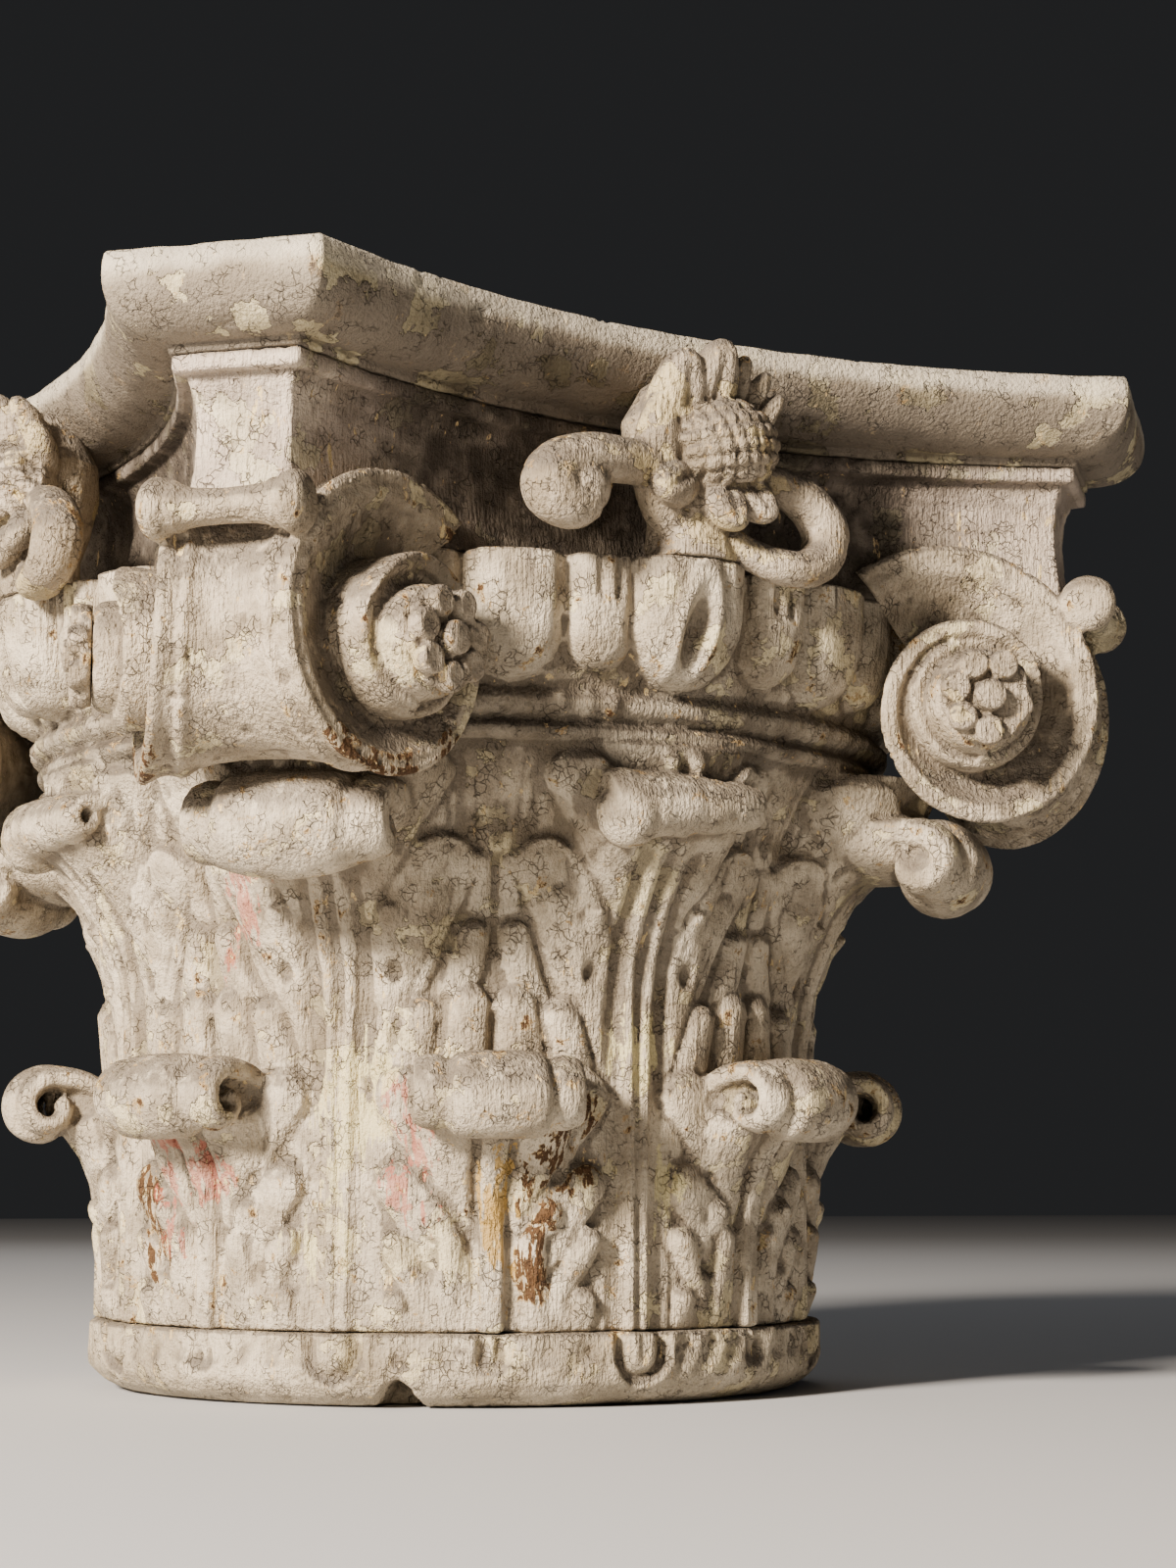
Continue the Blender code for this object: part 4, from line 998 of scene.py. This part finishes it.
def old_paint(name, main, second, patch, grime_and_shade, crackle=1.0, dirt_and_shade=1.0, bare=0.0, patches=0.0, board=False):
    """Layers of old oil paint on wood: patchy coats, raised crackle, brush marks, dirt, painted shade and
    bare spots.
    """
    material = bpy.data.materials.new(name)
    material.use_nodes = True
    tree = material.node_tree
    place = add(tree, "ShaderNodeTexCoord", "Object")
    place = add(tree, VECTOR, 0, {0: place, "Scale": 1000.0}, operation="SCALE")
    bend = add(tree, NOISE, "Color", {"Vector": place, "Scale": 1.0 / 6.0, "Detail": 2.0, "Roughness": 0.55})
    bend = add(tree, VECTOR, 0, {0: bend, "Scale": 5.0}, operation="SCALE")
    warped = add(tree, VECTOR, 0, (place, bend), **PLUS)
    brushed, stroked, grained = (
        add(tree, VECTOR, 0, (place, (1.0, 1.0, drawn_out)), **TIMES) for drawn_out in (0.12, 0.16, 0.08)
    )

    # Patterns: the size of their features in millimetres, detail, roughness and the place they read.
    seen = {}
    for key, size, detail, rough, where in (
        ("coats", 42.0, 3.0, 0.55, place),
        ("middle", 12.0, 3.0, 0.55, place),
        ("fine", 1.6, 3.0, 0.6, place),
        ("flakes", 24.0, 5.0, 0.6, warped),
        ("ridges", 2.9, 3.0, 0.55, warped),
        ("crackled", 24.0, 3.0, 0.55, place),
        ("cracked", 9.0, 3.0, 0.55, place),
        ("brushes", 1.5, 2.0, 0.6, brushed),
        ("grime_and_shade", 17.0, 5.0, 0.6, place),
        ("dust", 6.0, 4.0, 0.65, place),
        ("specks", 2.3, 4.0, 0.7, place),
        ("chips", 11.0, 6.0, 0.68, warped),
        ("strokes", 3.0, 3.0, 0.6, stroked),
        ("grain", 1.1, 3.0, 0.6, grained),
    ):
        kind = "RIDGED_MULTIFRACTAL" if key == "ridges" else "FBM"
        inputs = {"Vector": where, "Scale": 1.0 / size, "Detail": detail, "Roughness": rough}
        seen[key] = add(tree, NOISE, "Fac", inputs, noise_type=kind)
    for key in ("hollow", "upward", "bare", "painted_shade", "ochre", "red", "cream"):
        seen[key] = add(tree, "ShaderNodeAttribute", "Fac", attribute_name=key)
    cells = {"Vector": warped, "Scale": 1.0 / 3.2}
    cells = add(tree, "ShaderNodeTexVoronoi", "Distance", cells, feature="DISTANCE_TO_EDGE")

    # Coats of paint, one over the other and worn through in patches.
    second_coat = add(tree, RANGE, 0, (seen["coats"], 0.38, 0.64), **SMOOTH)
    mottling = add(tree, RANGE, 0, (seen["middle"], 0.48, 0.62, 0.0, 0.45), **SMOOTH)
    flaked = add(tree, RANGE, 0, (seen["flakes"], 0.575 - patches, 0.59 - patches), **SMOOTH)
    flake_tone = add(tree, MATH, 0, (flaked, 0.62), **TIMES)
    chalk = add(tree, RANGE, 0, (seen["fine"], 0.42, 0.72, 0.0, 0.16), **SMOOTH)

    # Raised, worm-like crackle and thin open cracks.
    ridges = add(tree, RANGE, 0, (seen["ridges"], 0.5, 1.5), **SMOOTH)
    unflaked = add(tree, MATH, 0, (flaked, -0.8, 1.0), operation="MULTIPLY_ADD")
    where = add(tree, RANGE, 0, (seen["crackled"], 0.40, 0.60, 0.45 * crackle, crackle), **SMOOTH)
    where = add(tree, MATH, 0, (where, unflaked), **TIMES)
    raised = add(tree, MATH, 0, (ridges, where), **TIMES)
    gaps = add(tree, RANGE, 0, (ridges, 0.45, 0.1, 0.0, 0.48 * dirt_and_shade), **SMOOTH)
    gaps = add(tree, MATH, 0, (gaps, where), **TIMES)
    crack = add(tree, RANGE, 0, (cells, 0.0, 0.07, 1.0, 0.0), **SMOOTH)
    cracked = add(tree, RANGE, 0, (seen["cracked"], 0.52, 0.62), **SMOOTH)
    crack = add(tree, MATH, 0, (crack, cracked), **TIMES)
    crack_tone = add(tree, MATH, 0, (crack, 0.5), **TIMES)

    # Dirt and painted shade in hollows, dirt in spots, dust on what faces up, and painted shade in the deep
    # recesses.
    # Darker in the hollows: partly dirt, partly painted shade.
    low = add(tree, MATH, 0, (seen["middle"], 0.6, seen["hollow"]), operation="MULTIPLY_ADD")
    low = add(tree, RANGE, 0, (low, 0.84, 1.22, 0.0, 0.66 * dirt_and_shade), **SMOOTH)
    grimy = add(tree, RANGE, 0, (seen["grime_and_shade"], 0.44, 0.66, 0.0, 0.54 * dirt_and_shade), **SMOOTH)
    dust = add(tree, RANGE, 0, (seen["upward"], 0.02, 0.42, 0.0, 0.86 * dirt_and_shade), **SMOOTH)
    dusty = add(tree, RANGE, 0, (seen["dust"], 0.28, 0.50), **SMOOTH)
    dust = add(tree, MATH, 0, (dust, dusty), **TIMES)
    specks = add(tree, RANGE, 0, (seen["specks"], 0.54, 0.72, 0.0, 0.62 * dirt_and_shade), **SMOOTH)
    # Painted shade in the deep recesses, where the pieces mark it.
    painted_shade_share = add(tree, RANGE, 0, (seen["middle"], 0.25, 0.6, 0.65, 0.92), **SMOOTH)
    painted_shade_share = add(tree, MATH, 0, (seen["painted_shade"], painted_shade_share), **TIMES)

    # Bare wood, ringed by ochre underpaint, where the coats have come off, mostly on edges.
    edge = add(tree, RANGE, 0, (seen["hollow"], 0.40, 0.12, 0.0, 0.13), **SMOOTH)
    marked = add(tree, RANGE, 0, (seen["strokes"], 0.42, 0.56, 0.12, 0.44), **SMOOTH)
    wear = add(tree, MATH, 0, (seen["chips"], edge), **PLUS)
    wear = add(tree, MATH, 0, (seen["bare"], marked, wear), operation="MULTIPLY_ADD")
    limit = 0.80 - 0.05 * bare
    worn = add(tree, RANGE, 0, (wear, limit, limit + 0.015), **SMOOTH)
    under = add(tree, RANGE, 0, (wear, limit - 0.045, limit - 0.025, 0.0, 0.75), **SMOOTH)
    grain = {0: seen["grain"], 6: colour("2C1C12"), 7: colour("70502F")}
    wood = add(tree, MIX, 2, grain, data_type="RGBA")

    coats = [
        (second_coat, colour(second)), (mottling, colour(second)), (flake_tone, colour(patch)),
        (chalk, colour("F4EEE2")), (low, colour(grime_and_shade)), (grimy, colour("85775F")), (dust, colour("6F675D")),
        (specks, colour("6A5D4A")), (gaps, colour("665A4B")), (crack_tone, colour("4A3F34")),
        (painted_shade_share, colour("332B23")), (under, colour("A98B5C")), (worn, wood),
    ]

    # Ochre, red and pale yellow remains of older coats, broken up by chips and brush strokes.
    blots = add(tree, MATH, 0, (seen["chips"], 2.2), **TIMES)
    blots = add(tree, MATH, 0, (seen["strokes"], 1.98, blots), operation="MULTIPLY_ADD")
    for key, tone, most in (("ochre", "B8954F", 0.85), ("red", "B25A48", 0.6), ("cream", "E0D3A0", 0.75)):
        remains = add(tree, MATH, 0, (seen[key], blots), **PLUS)
        remains = add(tree, RANGE, 0, (remains, 2.51, 2.67, 0.0, most), **SMOOTH)
        coats.append((remains, colour(tone)))

    # The board is paler along its top edge and darker below it: partly darker paint, partly painted shade on
    # its downward-facing lower part.
    if board:
        level = add(tree, "ShaderNodeSeparateXYZ", "Z", (place,))
        upper = add(tree, MATH, 0, (seen["middle"], 8.0, level), operation="MULTIPLY_ADD")
        upper = add(tree, RANGE, 0, (upper, 389.0, 394.0, 0.0, 0.5), **SMOOTH)
        lower = add(tree, MATH, 0, (seen["middle"], 12.0, level), operation="MULTIPLY_ADD")
        lower = add(tree, RANGE, 0, (lower, 397.0, 386.0, 0.0, 0.72), **SMOOTH)
        kept = add(tree, MATH, 0, (1.0, flaked), operation="SUBTRACT")
        lower = add(tree, MATH, 0, (lower, kept), **TIMES)
        coats += [(upper, colour("D6CDBA")), (lower, colour("776D60"))]

    coat = colour(main)
    for share, tone in coats:
        coat = add(tree, MIX, 2, {0: share, 6: coat, 7: tone}, data_type="RGBA")

    height = raised
    brush_rise = 0.12 if board else 0.5
    for layer, rise in (
        (crack, -0.4), (seen["brushes"], brush_rise), (seen["fine"], 0.45), (worn, -0.9), (flaked, -0.45)
    ):
        height = add(tree, MATH, 0, (layer, rise, height), operation="MULTIPLY_ADD")
    bump = add(tree, "ShaderNodeBump", 0, {"Height": height, "Strength": 1.0, "Distance": RELIEF * MM})
    shader = tree.nodes["Principled BSDF"]
    tree.links.new(coat, shader.inputs["Base Color"])
    tree.links.new(bump, shader.inputs["Normal"])
    roughness = add(tree, RANGE, 0, (seen["fine"], 0.2, 0.8, 0.60, 0.85), **SMOOTH)
    tree.links.new(roughness, shader.inputs["Roughness"])
    shader.inputs["Specular IOR Level"].default_value = 0.3
    return material


# The finishes: main coat, second coat, older coat where the flakes are off, and the tone of the dirt and
# painted shade in the hollows


# Oil paint on the board: cream over yellow, strongly crackled, paler along its top edge and darker grey below
# it, partly painted shade.
board_paint = old_paint(
    "old_cream_paint_on_the_board", "D3C6AC", "AC9F8A", "DCCF9F", "332B23", 1.3, patches=0.03, board=True
)
# Oil paint on the neck: a smooth pinkish white, plain on the horns and darkened with painted shade between
# them.
neck_paint = old_paint("pinkish_white_paint_on_the_neck", "DDCDB8", "C6B5A4", "DDD2AC", "41372E", 0.6, 0.6)
# Chalky white oil paint on the leaves: a raised crackle, and edges chipped to brown wood.
leaf_paint = old_paint(
    "chalky_paint_on_the_leaves", "EADCC2", "CFC0A6", "E2D3A2", "463C32", 1.1, 0.95, bare=0.5
)
# Oil paint at the foot: a dirty cream with little crackle.
foot_paint = old_paint("dirty_cream_paint_at_the_foot", "DACCB2", "BCAE94", "DACA9C", "463B31", 0.7)
# Thick cream oil paint on the scrolls: chipped along the rims.
scroll_paint = old_paint("cream_paint_on_the_scrolls", "D8C8AE", "BBAC92", "DCCEA0", "443A30", bare=0.6)
# Many coats of yellowed oil paint on the flowers: soft edges, and dark dirt with painted shade between the
# petals.
flower_paint = old_paint(
    "worn_paint_on_the_flowers", "CDBDA5", "A6977F", "D5C088", "3C3228", 0.8, 1.15, bare=0.5
)


# The marks and the pieces


def near(points, places, radius):
    """How close each point is to any of some places, from 0 to 1."""
    close = np.zeros(len(points))
    for place in places:
        away = np.linalg.norm(points - np.array(place), axis=1)
        close = np.maximum(close, np.clip(1.0 - away / radius, 0.0, 1.0))
    return close


def on_drum(direction, radius, spots):
    """Places on the drum from millimetres round from a leaf's midrib and levels."""
    angles = [(radians(direction + arc / SCALE), level) for arc, level in spots]
    return [(radius * cos(angle), radius * sin(angle), level) for angle, level in angles]


def off_horns(points, clear, fade):
    """0 on the four diagonals of the plan, rising to 1 at a distance from them."""
    across = np.abs(np.abs(points[:, 0]) - np.abs(points[:, 1])) / sqrt(2.0)
    return np.clip((across - clear) / fade, 0.0, 1.0)


bare_wood = on_drum(FRONT_LEAF, 154.0, ((10, 72), (12, 82), (20, 92), (27, 98), (22, 78), (33, 90)))
bare_wood += on_drum(FRONT_LEAF, 153.0, ((13, 60), (15, 48), (35, 104)))
bare_wood += on_drum(SIDE_LEAF, 153.0, ((-27, 62), (-30, 76), (-31, 90), (-25, 50), (-34, 104)))
red = on_drum(FRONT_LEAF, 156.0, ((-38, 112), (-33, 100), (-32, 90), (-37, 80), (-30, 70)))
red += on_drum(SIDE_LEAF, 156.0, ((-14, 62), (-16, 78), (6, 84), (-10, 100)))
red += on_drum(CORNER_LEAF, 158.0, ((-40, 176), (-34, 190), (-44, 160)))
ochre = on_drum(FRONT_LEAF, 150.0, [(2, level) for level in range(52, 100, 6)])
cream = on_drum(FRONT_LEAF, 148.0, ((-52, 104), (-50, 122), (-64, 60), (62, 80), (60, 130)))

item = bell()
spots = points_of(item)
# Painted shade round the bead course, under the egg course.
beads_painted_shade = 0.72 * np.clip(1.0 - np.abs(spots[:, 2] - 248.0) / 22.0, 0.0, 1.0)
finished(item, "bell", leaf_paint, (
    ("bare", near(spots, bare_wood, 15.0)),
    ("red", near(spots, red, 17.0)),
    ("ochre", near(spots, ochre, 11.0)),
    ("cream", near(spots, cream, 22.0)),
    ("painted_shade", beads_painted_shade),
))

item = crown()
spots = points_of(item)
# Painted shade on the board's hollow sides, below its top edge.
below_edge = np.clip((394.0 - spots[:, 2]) / 14.0, 0.0, 1.0)
crown_painted_shade = 0.84 * off_horns(spots, 34.0, 30.0) * below_edge
finished(item, "abacus_crown", board_paint, (("painted_shade", crown_painted_shade),))
item = neck()
# Painted shade on the neck's hollow sides, between the horns.
neck_painted_shade = off_horns(points_of(item), 20.0, 26.0)
finished(item, "abacus_neck", neck_paint, (("painted_shade", neck_painted_shade),))
finished(base_course(), "base_course", foot_paint)

shape = volute()
for index, corner in enumerate(("front_left", "front_right", "back_right", "back_left")):
    angle = -135.0 + 90.0 * index
    item = turned_copy(shape, f"volute_{corner}_carved", angle)
    weathered(item, 0.35, 0.8, seed=6.0)
    marks = ()
    if corner == "front_left":
        # The rim of this scroll is chipped along its lower edge.
        rim = [
            Matrix.Rotation(radians(angle), 4, "Z")
            @ Vector(disc_point(turn, spiral_radius(turn) - 1.0, spiral_proud(turn), hand))
            for turn in (0.4, 0.46, 0.52, 0.6) for hand in (1, -1)
        ]
        marks = (("bare", near(points_of(item), rim, 13.0)),)
    finished(item, f"volute_{corner}", scroll_paint, marks)
    sides = corner.split("_")
    order = sides if index % 2 == 0 else sides[::-1]
    for hand, side in ((1, order[0]), (-1, order[1])):
        broken = (1, 2) if (index + hand) % 3 == 0 else ()
        flower = rosette(f"rosette_{corner}_{side}_carved", hand, broken)
        flower.data.transform(Matrix.Rotation(radians(angle), 4, "Z"))
        weathered(flower, 0.2, 0.6, seed=7.0)
        finished(flower, f"rosette_{corner}_on_{side}", flower_paint)
bpy.data.objects.remove(shape)

shape = fleuron()
for index, side in enumerate(("front", "right", "back", "left")):
    item = turned_copy(shape, f"fleuron_{side}_carved", 90.0 * index)
    finished(weathered(item, 0.3, 0.7, seed=8.0), f"fleuron_{side}", flower_paint)
bpy.data.objects.remove(shape)


# Floor, light and camera


FLOOR_SIZE = 12.0
FLOOR_DROP = 0.0005
LENS = 67.32
CAMERA_PLACE = (-0.5679, -1.0928, 0.0797)
CAMERA_AZIMUTH = radians(-29.962)
CAMERA_PITCH = radians(7.838)
CAMERA_ROLL = radians(0.146)

bpy.ops.mesh.primitive_plane_add(size=FLOOR_SIZE, location=(0.0, 0.0, -FLOOR_DROP))
floor = bpy.context.object
floor.name = "floor"
# Matt paper: pale grey, no gloss.
paper = bpy.data.materials.new("pale_matt_paper")
paper.use_nodes = True
paper.node_tree.nodes["Principled BSDF"].inputs["Base Color"].default_value = colour("BDBEC1")
paper.node_tree.nodes["Principled BSDF"].inputs["Roughness"].default_value = 0.9
floor.data.materials.append(paper)

# Each light's name, place, height of its aim, size in metres, power and tone.
for name, place, aim, size, power, tone in (
    ("key", (-2.33, -1.04, 1.2), 0.2, 0.45, 300.0, "FFF1E0"),
    ("fill", (1.6, -2.4, 0.9), 0.2, 1.8, 1.6, "F2F2FF"),
    ("back", (0.6, 2.2, 1.8), 0.25, 1.4, 9.0, "FFFFFF"),
):
    lamp = bpy.data.lights.new(name, "AREA")
    lamp.size = size
    lamp.energy = power
    lamp.color = colour(tone)[:3]
    item = bpy.data.objects.new(name, lamp)
    bpy.context.scene.collection.objects.link(item)
    item.location = place
    towards = Vector((0.0, 0.0, aim)) - Vector(place)
    item.rotation_euler = towards.to_track_quat("-Z", "Y").to_euler()

world = bpy.data.worlds.new("soft_room")
world.use_nodes = True
world.node_tree.nodes["Background"].inputs["Color"].default_value = colour("D0D2D6")
world.node_tree.nodes["Background"].inputs["Strength"].default_value = 0.03
bpy.context.scene.world = world

camera = bpy.data.objects.new("camera", bpy.data.cameras.new("camera"))
bpy.context.scene.collection.objects.link(camera)
camera.data.lens = LENS
camera.data.clip_start = 0.05
camera.location = CAMERA_PLACE
level_forward = Vector((-sin(CAMERA_AZIMUTH), cos(CAMERA_AZIMUTH), 0.0))
forward = level_forward * cos(CAMERA_PITCH) + Vector((0.0, 0.0, sin(CAMERA_PITCH)))
right = Vector((cos(CAMERA_AZIMUTH), sin(CAMERA_AZIMUTH), 0.0))
across = right * cos(CAMERA_ROLL) + right.cross(forward) * sin(CAMERA_ROLL)
camera.rotation_euler = Matrix((across, across.cross(forward), -forward)).transposed().to_euler()
bpy.context.scene.camera = camera
